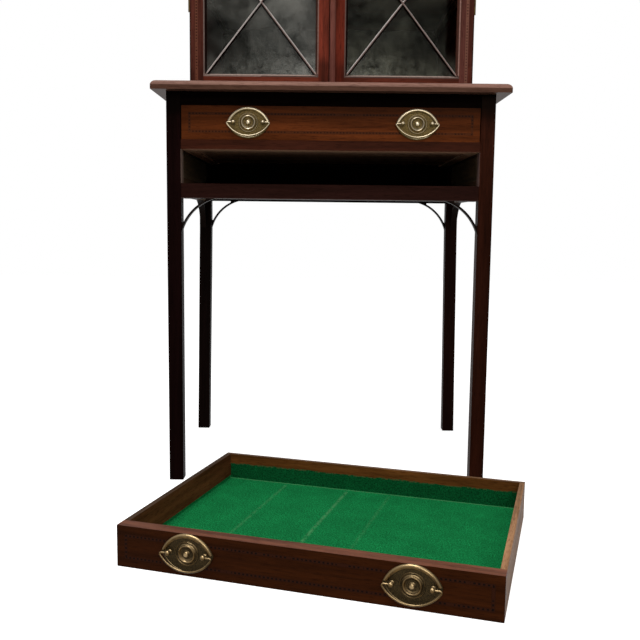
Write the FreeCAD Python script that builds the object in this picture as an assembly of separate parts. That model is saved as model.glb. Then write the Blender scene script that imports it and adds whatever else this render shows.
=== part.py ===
import FreeCAD, Part
import math
import os

# A mahogany display cabinet on a stand.
#
# The stand has four square legs, a shallow drawer under its moulded top and an open drawer
# space below that, whose drawer lies on the floor in front. The glazed case on the stand has
# two doors with crossed glazing bars. Every drawer has two brass handles with a hanging bail.
#
# All lengths are in millimetres. The pieces are drawn in the stand's own coordinates: X to the
# right, Y to the back, Z up, with X = 0 on the centre line, Y = 0 on the front faces of the
# legs and Z = 0 on the floor. When they are written, everything is shifted so that the origin
# is the centre of the floor area that stand and drawer cover together.

V = FreeCAD.Vector
UP = V(0, 0, 1)
RIGHT = V(1, 0, 0)
BACK = V(0, 1, 0)

# Stand
STAND_WIDTH = 621.5
STAND_DEPTH = 446.0
LEG_SIZE = 27.5
# How far each rear leg leans outwards at its foot, from the lower end of its brackets down
REAR_LEG_SPLAY = 6.5
LEG_ARRIS = 1.2
FOOT_CHAMFER = 1.5
LEG_CLEAR = 554.0
BOTTOM_RAIL_HEIGHT = 28.0
LOWER_OPENING = 64.0
MID_RAIL_HEIGHT = 18.0
UPPER_OPENING = 64.0
TOP_RAIL_HEIGHT = 25.0
FRONT_RAIL_DEPTH = 45.0
SIDE_RAIL_THICKNESS = 16.0
SIDE_RAIL_SETBACK = 1.0
BACK_RAIL_THICKNESS = 18.0
BACK_RAIL_SETBACK = 2.0
REAR_RAIL_RAISE = 6.0
TENON_LENGTH = 8.0
TENON_THICKNESS = 8.0
TENON_SHOULDER = 4.0

# Moulded top of the stand
TOP_OVERHANG = 24.8
TOP_OVERHANG_FRONT = 25.0
TOP_OVERHANG_BACK = 6.0
TOP_THICKNESS = 17.0
OVOLO_WIDTH = 12.5
OVOLO_HEIGHT = 8.5

# Inside the stand
RUNNER_WIDTH = 20.0
GUIDE_HEIGHT = 12.0
BOARD_THICKNESS = 6.0
BOARD_TONGUE = 5.0
BOTTOM_BOARD_RAISE = 14.0
DUST_BOARD_RAISE = 4.0
STOP_HEIGHT = 20.0
STOP_CLEARANCE = 0.3

# Curved brackets between legs and rails. The slope is the angle at which a strip meets the rail
BRACKET_LENGTH = 64.0
BRACKET_SLOPE = 16.0
BRACKET_STRIP = 3.6
BRACKET_DEPTH = 14.0
BRACKET_SETBACK = 2.0
BLOCK_LENGTH = 18.0

# Drawers
DRAWER_SIDE_CLEARANCE = 1.2
DRAWER_TOP_CLEARANCE = 0.5
RUNNING_GAP = 0.3
DRAWER_INSET = 1.0
DRAWER_REAR_CLEARANCE = 13.5
FRONT_THICKNESS = 22.0
DRAWER_SIDE = 9.0
DRAWER_BACK = 8.0
DRAWER_BOTTOM = 6.0
BOTTOM_GROOVE_HEIGHT = 8.5
BOTTOM_GROOVE_DEPTH = 4.5
DOVETAIL_LAP = 6.0
DOVETAIL_COUNT = 2
DOVETAIL_ROOT = 15.0
DOVETAIL_FLARE = 2.2

# Lining of the floor drawer
BAIZE_THICKNESS = 2.3
BAIZE_WALL = 1.2
BAIZE_BACK_HEIGHT = 30.0
BAIZE_SIDE_HEIGHT = 5.0

# Where the lower drawer lies: the floor point under its front left corner, and its turn
FLOOR_DRAWER_X = -311.5
FLOOR_DRAWER_Y = -414.8
FLOOR_DRAWER_TURN = -16.85

# Handles. They were fixed by hand, so each pair has its own spacing, shift and height
UPPER_HANDLE_SPACING = 319.0
UPPER_HANDLE_SHIFT = 4.0
UPPER_HANDLE_RAISE = 0.5
LOWER_HANDLE_SPACING = 328.5
LOWER_HANDLE_SHIFT = -2.7
LOWER_HANDLE_RAISE = 2.8
PLATE_WIDTH = 82.0
PLATE_HEIGHT = 58.5
PLATE_THICKNESS = 1.6
UPPER_RIM_RADIUS = 3.6
LOWER_RIM_RADIUS = 1.4
RIM_END_LIFT = 2.5
POST_SPACING = 55.6
POST_REACH = 8.5
POST_BALL_RADIUS = 4.0
POST_NECK_RADIUS = 1.9
POST_FOOT_RADIUS = 3.2
POST_FOOT_HEIGHT = 1.2
SHANK_RADIUS = 1.8
SHANK_CLEARANCE = 0.1
SHANK_TAIL = 1.5
NUT_RADIUS = 5.0
NUT_HEIGHT = 3.0
BAIL_ROD_RADIUS = 1.5
BAIL_DROP = 24.8
BAIL_HALF_WIDTH = 40.0
BAIL_CORNER = 2.2
BAIL_PIN_RADIUS = 1.2
BAIL_PIN_CLEARANCE = 0.06
BAIL_PIN_DEPTH = 2.8

# Case on the stand
CASE_WIDTH = 543.0
CASE_SETBACK = 40.0
CASE_BOARD = 16.0
CASE_BACK_THICKNESS = 8.0
CASE_BACK_TONGUE = 6.0
DOOR_THICKNESS = 20.0
DOOR_SEAT_GAP = 0.4
DOOR_FOOT_GAP = 1.0
DOOR_HEAD_GAP = 1.6
STILE_WIDTH = 26.0
BOTTOM_DOOR_RAIL = 16.5
TOP_DOOR_RAIL = 26.0
MEETING_GAP = 1.5
MEETING_OFFSET = -3.4
MEETING_INNER = 24.6
BEAD_WIDTH = 11.0
BEAD_HEIGHT = 4.5
BEAD_FILLET = 1.2
DOOR_TENON_LENGTH = 14.0
DOOR_TENON_THICKNESS = 6.0
DOOR_TENON_SHOULDER = 4.0

# Glazing
LIP_WIDTH = 6.0
LIP_SLOPE = 3.5
GLASS_SETBACK = 8.0
GLASS_THICKNESS = 2.5
GLASS_EDGE_GAP = 1.0
PUTTY_SIZE = 5.0
GLASS_HEIGHT = 532.0
LATTICE_CELLS = 2
BAR_WIDTH = 6.0
BAR_RIDGE = 2.0
BAR_FRONT_SETBACK = 1.5

# Hinges
HINGE_LENGTH = 50.0
HINGE_INSET = 140.0
HINGE_LEAF = 1.6
HINGE_LEAF_WIDTH = 16.0
KNUCKLE_RADIUS = 2.6
KNUCKLE_STANDOFF = 3.0
KNUCKLE_GAP = 0.3
HINGE_PIN_RADIUS = 1.1
HINGE_PIN_CLEARANCE = 0.06

# Lock of the right door
LOCK_WIDTH = 18.0
LOCK_HEIGHT = 42.0
LOCK_THICKNESS = 8.0
BOLT_HEIGHT = 12.0
BOLT_THICKNESS = 3.0
BOLT_LENGTH = 12.0
BOLT_THROW = 7.0
BOLT_CLEARANCE = 0.3
BOLT_END_GAP = 0.2
LOCK_FRONT_WOOD = 9.0
PLATE_OVAL_WIDTH = 12.0
PLATE_OVAL_HEIGHT = 22.0
PLATE_OVAL_THICKNESS = 1.0
KEYHOLE_RADIUS = 2.0
KEYHOLE_DROP = 7.0
KEYHOLE_SLOT = 2.0

# Shelves
SHELF_COUNT = 2
SHELF_THICKNESS = 10.0
SHELF_SIDE_GAP = 0.5
SHELF_FRONT_INSET = 12.0
BEARER_WIDTH = 10.0
BEARER_HEIGHT = 12.0

# Cornice
CORNICE_FRIEZE = 14.0
CORNICE_COVE = 20.0
CORNICE_PROJECTION = 20.0
CORNICE_FILLET = 8.0
CORNICE_THICKNESS = 22.0

# Levels and planes that follow from the sizes
RAIL_BOTTOM = LEG_CLEAR
REAR_RAIL_BOTTOM = RAIL_BOTTOM + REAR_RAIL_RAISE
LOWER_FLOOR = RAIL_BOTTOM + BOTTOM_RAIL_HEIGHT
LOWER_CEILING = LOWER_FLOOR + LOWER_OPENING
UPPER_FLOOR = LOWER_CEILING + MID_RAIL_HEIGHT
UPPER_CEILING = UPPER_FLOOR + UPPER_OPENING
APRON_TOP = UPPER_CEILING + TOP_RAIL_HEIGHT
STAND_HEIGHT = APRON_TOP + TOP_THICKNESS

HALF_STAND = STAND_WIDTH / 2
HALF_OPENING = HALF_STAND - LEG_SIZE
HALF_TOP = HALF_STAND + TOP_OVERHANG
SIDE_RAIL_OUTER = HALF_STAND - SIDE_RAIL_SETBACK
SIDE_RAIL_INNER = SIDE_RAIL_OUTER - SIDE_RAIL_THICKNESS
RUNNER_INNER = HALF_OPENING - RUNNER_WIDTH
REAR_LEG_FRONT = STAND_DEPTH - LEG_SIZE
BACK_RAIL_REAR = STAND_DEPTH - BACK_RAIL_SETBACK
BACK_RAIL_FRONT = BACK_RAIL_REAR - BACK_RAIL_THICKNESS

DRAWER_WIDTH = 2 * (HALF_OPENING - DRAWER_SIDE_CLEARANCE)
DRAWER_DEPTH = BACK_RAIL_FRONT - DRAWER_INSET - DRAWER_REAR_CLEARANCE
LOWER_DRAWER_HEIGHT = LOWER_OPENING - DRAWER_TOP_CLEARANCE - RUNNING_GAP
UPPER_DRAWER_HEIGHT = UPPER_OPENING - DRAWER_TOP_CLEARANCE - RUNNING_GAP

SLOPE_RADIANS = math.radians(BRACKET_SLOPE)
BRACKET_RADIUS = BRACKET_LENGTH / (math.cos(SLOPE_RADIANS) - math.sin(SLOPE_RADIANS))
BRACKET_CENTRE = BRACKET_RADIUS * math.cos(SLOPE_RADIANS)

HALF_CASE = CASE_WIDTH / 2
DOOR_FRONT = CASE_SETBACK
DOOR_BACK = DOOR_FRONT + DOOR_THICKNESS
CASE_FRONT = DOOR_BACK + DOOR_SEAT_GAP
CASE_REAR = STAND_DEPTH
DOOR_BOTTOM = STAND_HEIGHT + DOOR_FOOT_GAP
SIGHT_BOTTOM = DOOR_BOTTOM + BOTTOM_DOOR_RAIL
SIGHT_TOP = SIGHT_BOTTOM + GLASS_HEIGHT + 2 * LIP_WIDTH
DOOR_TOP = SIGHT_TOP + TOP_DOOR_RAIL
CASE_TOP = DOOR_TOP + DOOR_HEAD_GAP
CASE_INSIDE = HALF_CASE - CASE_BOARD
CASE_FLOOR = STAND_HEIGHT + CASE_BOARD
CASE_CEILING = CASE_TOP - CASE_BOARD
STILE_INNER = HALF_CASE - STILE_WIDTH
DOOR_MIDDLE = (DOOR_BOTTOM + DOOR_TOP) / 2
GLASS_FRONT = DOOR_FRONT + GLASS_SETBACK
GLASS_BACK = GLASS_FRONT + GLASS_THICKNESS
LEFT_DOOR_EDGE = MEETING_OFFSET - MEETING_GAP
RIGHT_DOOR_EDGE = MEETING_OFFSET
HINGE_X = HALF_CASE + KNUCKLE_STANDOFF
HINGE_Y = DOOR_BACK + DOOR_SEAT_GAP / 2
LOCK_BACK = DOOR_FRONT + LOCK_FRONT_WOOD + LOCK_THICKNESS


def floor_drawer_point(across, back):
    """Where a point of the floor drawer lies, from its front left corner."""
    turn = math.radians(FLOOR_DRAWER_TURN)
    x = FLOOR_DRAWER_X + across * math.cos(turn) - back * math.sin(turn)
    y = FLOOR_DRAWER_Y + across * math.sin(turn) + back * math.cos(turn)
    return x, y


# The origin: the centre of the floor area that the whole object covers
FOOTPRINT_LEFT = -HALF_TOP
FOOTPRINT_RIGHT = max(HALF_TOP, floor_drawer_point(DRAWER_WIDTH, DRAWER_DEPTH)[0])
FOOTPRINT_FRONT = floor_drawer_point(DRAWER_WIDTH, 0)[1]
FOOTPRINT_BACK = STAND_DEPTH + TOP_OVERHANG_BACK
ORIGIN_SHIFT = V(
    -(FOOTPRINT_LEFT + FOOTPRINT_RIGHT) / 2,
    -(FOOTPRINT_FRONT + FOOTPRINT_BACK) / 2,
    0,
)


# Small building functions
def box(x0, x1, y0, y1, z0, z1):
    return Part.makeBox(x1 - x0, y1 - y0, z1 - z0, V(x0, y0, z0))


def mirrored(shape):
    """The same piece on the other side of the centre line."""
    return shape.mirror(V(0, 0, 0), RIGHT)


def polygon(points):
    """A flat face with straight edges through the points."""
    return Part.Face(Part.makePolygon(points + [points[0]]))


def prism(points, direction):
    return polygon(points).extrude(direction)


def arc(start, middle, end):
    return Part.Arc(start, middle, end).toShape()


def line(start, end):
    return Part.LineSegment(start, end).toShape()


def fused(shapes):
    return shapes[0].fuse(list(shapes[1:])).removeSplitter()


def cut(shape, tools):
    return shape.cut(list(tools))


def circle_point(centre, radius, degrees):
    """A point on a circle in the X-Z plane, with the angle measured up from the X axis."""
    angle = math.radians(degrees)
    return centre + V(radius * math.cos(angle), 0, radius * math.sin(angle))


# Stand: rails with tenons, legs with the mortises that the tenons fit
def cross_rail(depth_from, depth_to, low, high):
    """A rail between the left and right legs, with a stub tenon at each end."""
    middle = (depth_from + min(depth_to, depth_from + LEG_SIZE)) / 2
    body = box(-HALF_OPENING, HALF_OPENING, depth_from, depth_to, low, high)
    reach = HALF_OPENING + TENON_LENGTH
    tenon = box(
        -reach,
        reach,
        middle - TENON_THICKNESS / 2,
        middle + TENON_THICKNESS / 2,
        low + TENON_SHOULDER,
        high - TENON_SHOULDER,
    )
    return fused([body, tenon])


def front_rail(low, high):
    """A rail between the front legs, flush with their front faces."""
    return cross_rail(0, FRONT_RAIL_DEPTH, low, high)


def back_rail():
    """The rail between the rear legs; it doesn't reach down as far as the front rails."""
    return cross_rail(BACK_RAIL_FRONT, BACK_RAIL_REAR, REAR_RAIL_BOTTOM, APRON_TOP)


def side_rail():
    """The right side rail, between the front and rear legs."""
    middle = (SIDE_RAIL_INNER + SIDE_RAIL_OUTER) / 2
    body = box(SIDE_RAIL_INNER, SIDE_RAIL_OUTER, LEG_SIZE, REAR_LEG_FRONT, REAR_RAIL_BOTTOM, APRON_TOP)
    tenon = box(
        middle - TENON_THICKNESS / 2,
        middle + TENON_THICKNESS / 2,
        LEG_SIZE - TENON_LENGTH,
        REAR_LEG_FRONT + TENON_LENGTH,
        REAR_RAIL_BOTTOM + TENON_SHOULDER,
        APRON_TOP - TENON_SHOULDER,
    )
    return fused([body, tenon])


def leg(x0, y0, rails, splay=0.0):
    """A square leg with softened edges, mortised for the rails that meet it."""
    bend = REAR_RAIL_BOTTOM - BRACKET_LENGTH
    outline = [
        V(x0, y0, APRON_TOP),
        V(x0 + LEG_SIZE, y0, APRON_TOP),
        V(x0 + LEG_SIZE, y0, bend),
        V(x0 + LEG_SIZE + splay, y0, 0),
        V(x0 + splay, y0, 0),
        V(x0, y0, bend),
    ]
    post = prism(outline, V(0, LEG_SIZE, 0)).removeSplitter()
    upright = [e for e in post.Edges if abs(e.Vertexes[0].Z - e.Vertexes[-1].Z) > LEG_SIZE]
    post = post.makeFillet(LEG_ARRIS, upright)
    foot = [e for e in post.Edges if max(v.Z for v in e.Vertexes) < LEG_ARRIS / 2]
    post = post.makeChamfer(FOOT_CHAMFER / 2, foot)
    return cut(post, rails)


def moulded_top():
    """The stand's top: a board whose front and side edges carry an ovolo over a square edge."""
    rear = STAND_DEPTH + TOP_OVERHANG_BACK
    front = -TOP_OVERHANG_FRONT
    square_top = STAND_HEIGHT - OVOLO_HEIGHT
    board = box(-HALF_TOP, HALF_TOP, front, rear, APRON_TOP, STAND_HEIGHT)
    # The waste above the ovolo, swept round the three edges with mitred corners
    inner = V(-HALF_TOP + OVOLO_WIDTH, rear, STAND_HEIGHT)
    outer = V(-HALF_TOP, rear, square_top)
    bulge = V(
        -HALF_TOP + OVOLO_WIDTH * (1 - math.cos(math.radians(48))),
        rear,
        square_top + OVOLO_HEIGHT * math.sin(math.radians(48)),
    )
    margin = 2.0
    corner_low = outer + V(-margin, 0, 0)
    corner_high = V(outer.x - margin, rear, STAND_HEIGHT + margin)
    over_inner = inner + V(0, 0, margin)
    section = Part.Wire(
        [
            arc(inner, bulge, outer),
            line(outer, corner_low),
            line(corner_low, corner_high),
            line(corner_high, over_inner),
            line(over_inner, inner),
        ]
    )
    path = Part.makePolygon(
        [
            V(-HALF_TOP, rear, square_top),
            V(-HALF_TOP, front, square_top),
            V(HALF_TOP, front, square_top),
            V(HALF_TOP, rear, square_top),
        ]
    )
    waste = mitred_sweep(path, section)
    return board.cut(waste)


def mitred_sweep(path, section):
    """Sweeps a closed section along a path of straight runs, with mitred corners."""
    sweep = Part.BRepOffsetAPI.MakePipeShell(path)
    sweep.setTransitionMode(1)
    sweep.add(section, False, False)
    sweep.build()
    sweep.makeSolid()
    return sweep.shape()


# Stand: what carries and guides the drawers
def runner(front, floor_level):
    """A drawer runner on the right, with its top at the level of the drawer opening's floor."""
    return box(
        RUNNER_INNER,
        HALF_OPENING,
        front,
        BACK_RAIL_FRONT,
        floor_level - MID_RAIL_HEIGHT,
        floor_level,
    )


def guide(floor_level):
    """A guide on the right: it fills the side rail out to the leg and carries the runner."""
    return box(
        HALF_OPENING,
        SIDE_RAIL_INNER,
        LEG_SIZE,
        REAR_LEG_FRONT,
        floor_level - MID_RAIL_HEIGHT,
        floor_level + GUIDE_HEIGHT,
    )


def kicker():
    """The strip on the right that keeps the upper drawer from tipping when it is open."""
    return box(RUNNER_INNER, HALF_OPENING, FRONT_RAIL_DEPTH, BACK_RAIL_FRONT, UPPER_CEILING, APRON_TOP)


def board_between_rails(low):
    """A thin board whose edges lie in grooves of the rail in front and of the two runners."""
    half_width = RUNNER_INNER + BOARD_TONGUE
    return box(
        -half_width,
        half_width,
        FRONT_RAIL_DEPTH - BOARD_TONGUE,
        BACK_RAIL_FRONT,
        low,
        low + BOARD_THICKNESS,
    )


def drawer_stop(floor_level):
    """The block on the right runner, against the back rail, that the drawer comes to rest on."""
    front = DRAWER_INSET + DRAWER_DEPTH + STOP_CLEARANCE
    return box(
        RUNNER_INNER,
        HALF_OPENING,
        front,
        BACK_RAIL_FRONT,
        floor_level,
        floor_level + STOP_HEIGHT,
    )


# Brackets
def bracket():
    """A bracket on the right of a leg, with its corner, where leg and rail meet, at the origin."""
    centre = V(BRACKET_CENTRE, 0, -BRACKET_CENTRE)
    outer = Part.makeCylinder(BRACKET_RADIUS + BRACKET_STRIP, BRACKET_DEPTH, centre, BACK)
    inner = Part.makeCylinder(BRACKET_RADIUS, BRACKET_DEPTH, centre, BACK)
    corner = box(0, BRACKET_CENTRE, 0, BRACKET_DEPTH, -BRACKET_CENTRE, 0)
    strip = outer.cut(inner).common(corner)
    # A small block fills the narrow gap between the strip's end and the leg
    start = BRACKET_LENGTH - BLOCK_LENGTH
    middle = BRACKET_RADIUS + BRACKET_STRIP / 2
    across = BRACKET_CENTRE - math.sqrt(middle**2 - (BRACKET_CENTRE - start) ** 2)
    leg_block = [
        V(0, 0, -start),
        V(across, 0, -start),
        V(0, 0, BRACKET_STRIP - BRACKET_LENGTH),
    ]
    # The block at the rail mirrors it about the diagonal of the corner
    rail_block = [V(-p.z, 0, -p.x) for p in leg_block]
    depth = V(0, BRACKET_DEPTH, 0)
    return fused([strip, prism(leg_block, depth), prism(rail_block, depth)])


def turned(shape, degrees):
    copy = shape.copy()
    copy.rotate(V(0, 0, 0), UP, degrees)
    return copy


def moved(shape, x, y, z):
    copy = shape.copy()
    copy.translate(V(x, y, z))
    return copy


def front_brackets():
    left = moved(bracket(), -HALF_OPENING, BRACKET_SETBACK, RAIL_BOTTOM)
    return [left, mirrored(left)]


def rear_brackets():
    setback = STAND_DEPTH - BRACKET_SETBACK - BRACKET_DEPTH
    left = moved(bracket(), -HALF_OPENING, setback, REAR_RAIL_BOTTOM)
    return [left, mirrored(left)]


def side_brackets():
    """The four brackets under the side rails, two on each side."""
    outer = HALF_STAND - BRACKET_SETBACK
    low = REAR_RAIL_BOTTOM
    front = moved(turned(bracket(), 90), outer, LEG_SIZE, low)
    rear = moved(turned(bracket(), -90), outer - BRACKET_DEPTH, REAR_LEG_FRONT, low)
    return [front, rear, mirrored(front), mirrored(rear)]


# Drawers, drawn with the front's lower left front corner at the origin
def dovetails(root, tip, low, high):
    """The tails at one end of a drawer side, as solids from the root to the tip along Y."""
    pitch = (high - low) / DOVETAIL_COUNT
    tails = []
    for number in range(DOVETAIL_COUNT):
        middle = low + (number + 0.5) * pitch
        narrow = DOVETAIL_ROOT / 2
        wide = narrow + DOVETAIL_FLARE
        outline = [
            V(0, root, middle - narrow),
            V(0, tip, middle - wide),
            V(0, tip, middle + wide),
            V(0, root, middle + narrow),
        ]
        tails.append(prism(outline, V(DRAWER_SIDE, 0, 0)))
    return tails


def bottom_panel():
    reach = DRAWER_SIDE - BOTTOM_GROOVE_DEPTH
    return box(
        reach,
        DRAWER_WIDTH - reach,
        FRONT_THICKNESS - BOTTOM_GROOVE_DEPTH,
        DRAWER_DEPTH,
        BOTTOM_GROOVE_HEIGHT,
        BOTTOM_GROOVE_HEIGHT + DRAWER_BOTTOM,
    )


def drawer_side(height):
    """The left side, dovetailed to the front and the back and grooved for the bottom."""
    back_face = DRAWER_DEPTH - DRAWER_BACK
    floor_top = BOTTOM_GROOVE_HEIGHT + DRAWER_BOTTOM
    body = box(0, DRAWER_SIDE, FRONT_THICKNESS, back_face, 0, height)
    tails = dovetails(FRONT_THICKNESS, DOVETAIL_LAP, 0, height)
    tails += dovetails(back_face, DRAWER_DEPTH, floor_top, height)
    heel = box(0, DRAWER_SIDE, back_face, DRAWER_DEPTH, 0, floor_top)
    return fused([body, heel] + tails).cut(bottom_panel())


def drawer_other_side(side):
    return side.mirror(V(DRAWER_WIDTH / 2, 0, 0), RIGHT)


def drawer_front(height, sides, shanks):
    board = box(0, DRAWER_WIDTH, 0, FRONT_THICKNESS, 0, height)
    return cut(board, sides + [bottom_panel()] + shanks)


def drawer_back(height, sides):
    floor_top = BOTTOM_GROOVE_HEIGHT + DRAWER_BOTTOM
    board = box(0, DRAWER_WIDTH, DRAWER_DEPTH - DRAWER_BACK, DRAWER_DEPTH, floor_top, height)
    return cut(board, sides)


def baize_lining():
    """Cloth glued to the drawer floor and up the back wall, and turned up a little at the sides."""
    left, right = DRAWER_SIDE, DRAWER_WIDTH - DRAWER_SIDE
    front, back = FRONT_THICKNESS, DRAWER_DEPTH - DRAWER_BACK
    low = BOTTOM_GROOVE_HEIGHT + DRAWER_BOTTOM
    top = low + BAIZE_THICKNESS
    floor = box(left, right, front, back, low, top)
    back_wall = box(left, right, back - BAIZE_WALL, back, low, top + BAIZE_BACK_HEIGHT)
    left_wall = box(left, left + BAIZE_WALL, front, back, low, top + BAIZE_SIDE_HEIGHT)
    right_wall = box(right - BAIZE_WALL, right, front, back, low, top + BAIZE_SIDE_HEIGHT)
    return fused([floor, back_wall, left_wall, right_wall])


# Handles, drawn with the plate's centre at the origin and the drawer behind it, towards +Y
def handle_centres(height, spacing, shift, lift):
    """The two plates' centres on a drawer front of this height."""
    middle = DRAWER_WIDTH / 2 + shift
    return [V(middle + side * spacing / 2, 0, height / 2 + lift) for side in (-1, 1)]


def post_positions():
    return [V(side * POST_SPACING / 2, 0, 0) for side in (-1, 1)]


def arc_radius(width, rise):
    """The radius of an arc over a chord of this width, rising this much at its middle."""
    half = width / 2
    return (half * half + rise * rise) / (2 * rise)


def plate_outline():
    left, right = V(-PLATE_WIDTH / 2, 0, 0), V(PLATE_WIDTH / 2, 0, 0)
    rise = V(0, 0, PLATE_HEIGHT / 2)
    return Part.Face(Part.Wire([arc(left, rise, right), arc(right, -rise, left)]))


def plate_rim(rim_radius):
    """A half-round rim along the upper edge of the plate, cut level just above the tips."""
    radius = arc_radius(PLATE_WIDTH, PLATE_HEIGHT / 2)
    centre = V(0, -PLATE_THICKNESS / 2, PLATE_HEIGHT / 2 - radius)
    ring = Part.makeTorus(radius - rim_radius, rim_radius, centre, BACK)
    half = PLATE_WIDTH / 2
    return ring.common(box(-half, half, -2 * rim_radius, 0, RIM_END_LIFT, PLATE_HEIGHT))


def plate_boss():
    """The turned centre of the plate: a knob inside a raised ring inside a bead."""
    # Pairs of radius and height over the plate's back face
    outline = [
        (0.0, 8.2),
        (2.0, 7.9),
        (3.4, 7.0),
        (4.2, 5.6),
        (4.3, 4.6),
        (3.6, 3.2),
        (5.0, 2.4),
        (8.2, 2.4),
        (9.8, 3.2),
        (11.2, 5.0),
        (12.0, 5.4),
        (12.9, 5.0),
        (14.0, 3.0),
        (15.0, 2.2),
        (16.0, 2.2),
        (16.8, 3.1),
        (17.6, 3.1),
        (18.6, PLATE_THICKNESS),
    ]
    points = [V(radius, -height, 0) for radius, height in outline]
    points += [V(outline[-1][0], 0, 0), V(0, 0, 0)]
    return polygon(points).revolve(V(0, 0, 0), BACK, 360)


def handle_plate():
    sheet = plate_outline().extrude(V(0, -PLATE_THICKNESS, 0))
    lower_rim = plate_rim(LOWER_RIM_RADIUS).mirror(V(0, 0, 0), UP)
    plate = fused([sheet, plate_rim(UPPER_RIM_RADIUS), lower_rim, plate_boss()])
    holes = [shank_hole(at) for at in post_positions()]
    return cut(plate, holes)


def shank_hole(at):
    depth = PLATE_THICKNESS * 3 + FRONT_THICKNESS
    return Part.makeCylinder(SHANK_RADIUS + SHANK_CLEARANCE, depth, at + V(0, -PLATE_THICKNESS * 2, 0), BACK)


def handle_post(at):
    """A ball-headed post with a threaded shank that passes through plate and drawer front."""
    seat = -PLATE_THICKNESS
    end = FRONT_THICKNESS + NUT_HEIGHT + SHANK_TAIL
    side = 1 if at.x > 0 else -1
    ball = Part.makeSphere(POST_BALL_RADIUS, at + V(0, -POST_REACH, 0))
    neck = Part.makeCylinder(POST_NECK_RADIUS, POST_REACH + seat, at + V(0, -POST_REACH, 0), BACK)
    foot = Part.makeCone(
        POST_NECK_RADIUS, POST_FOOT_RADIUS, POST_FOOT_HEIGHT, at + V(0, seat - POST_FOOT_HEIGHT, 0), BACK
    )
    shank = Part.makeCylinder(SHANK_RADIUS, end - seat, at + V(0, seat, 0), BACK)
    socket = Part.makeCylinder(
        BAIL_PIN_RADIUS + BAIL_PIN_CLEARANCE,
        POST_BALL_RADIUS * 2,
        at + V(side * (POST_BALL_RADIUS - BAIL_PIN_DEPTH - RUNNING_GAP), -POST_REACH, 0),
        V(side, 0, 0),
    )
    return fused([ball, neck, foot, shank]).cut(socket)


def handle_nut(at):
    outline = [circle_point(at, NUT_RADIUS, 60 * n) for n in range(6)]
    nut = prism([p + V(0, FRONT_THICKNESS, 0) for p in outline], V(0, NUT_HEIGHT, 0))
    return nut.cut(Part.makeCylinder(SHANK_RADIUS, NUT_HEIGHT, at + V(0, FRONT_THICKNESS, 0), BACK))


def flip(point):
    """The mirror image of a point on the other side of the handle's middle."""
    return V(-point.x, point.y, point.z)


def bail():
    """The hanging bail: a rod bent to the plate's lower outline, with a pin at each end."""
    at = V(0, -POST_REACH, 0)
    drop = BAIL_DROP
    radius = arc_radius(2 * (BAIL_HALF_WIDTH + BAIL_ROD_RADIUS), drop)
    centre_z = radius - drop
    # The corner's circle touches the pins' line and, from inside, the long arc
    corner_x = math.sqrt((radius - BAIL_CORNER) ** 2 - (BAIL_CORNER + centre_z) ** 2)
    corner = at + V(corner_x, 0, -BAIL_CORNER)
    main = at + V(0, 0, centre_z)
    join_angle = math.degrees(math.atan2(-BAIL_CORNER - centre_z, corner_x))
    join = circle_point(main, radius, join_angle)
    top = circle_point(corner, BAIL_CORNER, 90)
    bend = circle_point(corner, BAIL_CORNER, (90 + join_angle) / 2)
    post_x = POST_SPACING / 2
    collar = at + V(post_x + POST_BALL_RADIUS + RUNNING_GAP, 0, 0)
    path = Part.Wire(
        [
            line(collar, top),
            arc(top, bend, join),
            arc(join, main - V(0, 0, radius), flip(join)),
            arc(flip(join), flip(bend), flip(top)),
            line(flip(top), flip(collar)),
        ]
    )
    profile = Part.Wire(Part.makeCircle(BAIL_ROD_RADIUS, collar, RIGHT))
    rod = path.makePipeShell([profile], True, True)
    pin_length = BAIL_PIN_DEPTH + RUNNING_GAP
    right_pin = Part.makeCylinder(
        BAIL_PIN_RADIUS, pin_length + 1.0, collar + V(1.0, 0, 0), V(-1, 0, 0)
    )
    left_pin = mirrored(right_pin)
    return fused([rod, right_pin, left_pin])


def drawer(height, centres):
    """All pieces of one drawer, by name, in the drawer's own coordinates."""
    left = drawer_side(height)
    sides = [left, drawer_other_side(left)]
    places = [(c, at) for c in centres for at in post_positions()]
    holes = [shank_hole(c + at) for c, at in places]
    plate = handle_plate()
    rod = bail()
    posts = []
    for centre in centres:
        for at in post_positions():
            posts.append(moved(handle_post(at), *centre))
            posts.append(moved(handle_nut(at), *centre))
    return {
        "front": [drawer_front(height, sides, holes)],
        "sides": sides,
        "back": [drawer_back(height, sides)],
        "bottom": [bottom_panel()],
        "handle_plates": [moved(plate, *centre) for centre in centres],
        "handle_posts": posts,
        "left_bail": [moved(rod, *centres[0])],
        "right_bail": [moved(rod, *centres[1])],
    }


def in_stand(shape):
    return moved(shape, -DRAWER_WIDTH / 2, DRAWER_INSET, UPPER_FLOOR + RUNNING_GAP)


def on_floor(shape):
    return moved(turned(shape, FLOOR_DRAWER_TURN), FLOOR_DRAWER_X, FLOOR_DRAWER_Y, 0)


# Case
def case_side():
    """The right side board, rebated for the back."""
    board = box(CASE_INSIDE, HALF_CASE, CASE_FRONT, CASE_REAR, STAND_HEIGHT, CASE_TOP)
    return cut(board, [case_back()] + hinge_recesses())


def case_board(low):
    """The bottom or top board between the sides."""
    return box(-CASE_INSIDE, CASE_INSIDE, CASE_FRONT, CASE_REAR - CASE_BACK_THICKNESS, low, low + CASE_BOARD)


def case_back():
    reach = CASE_INSIDE + CASE_BACK_TONGUE
    return box(-reach, reach, CASE_REAR - CASE_BACK_THICKNESS, CASE_REAR, STAND_HEIGHT, CASE_TOP)


def shelf_levels():
    """The undersides of the shelves, evenly spaced inside the case."""
    clear = (CASE_CEILING - CASE_FLOOR - SHELF_COUNT * SHELF_THICKNESS) / (SHELF_COUNT + 1)
    return [CASE_FLOOR + (n + 1) * clear + n * SHELF_THICKNESS for n in range(SHELF_COUNT)]


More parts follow.
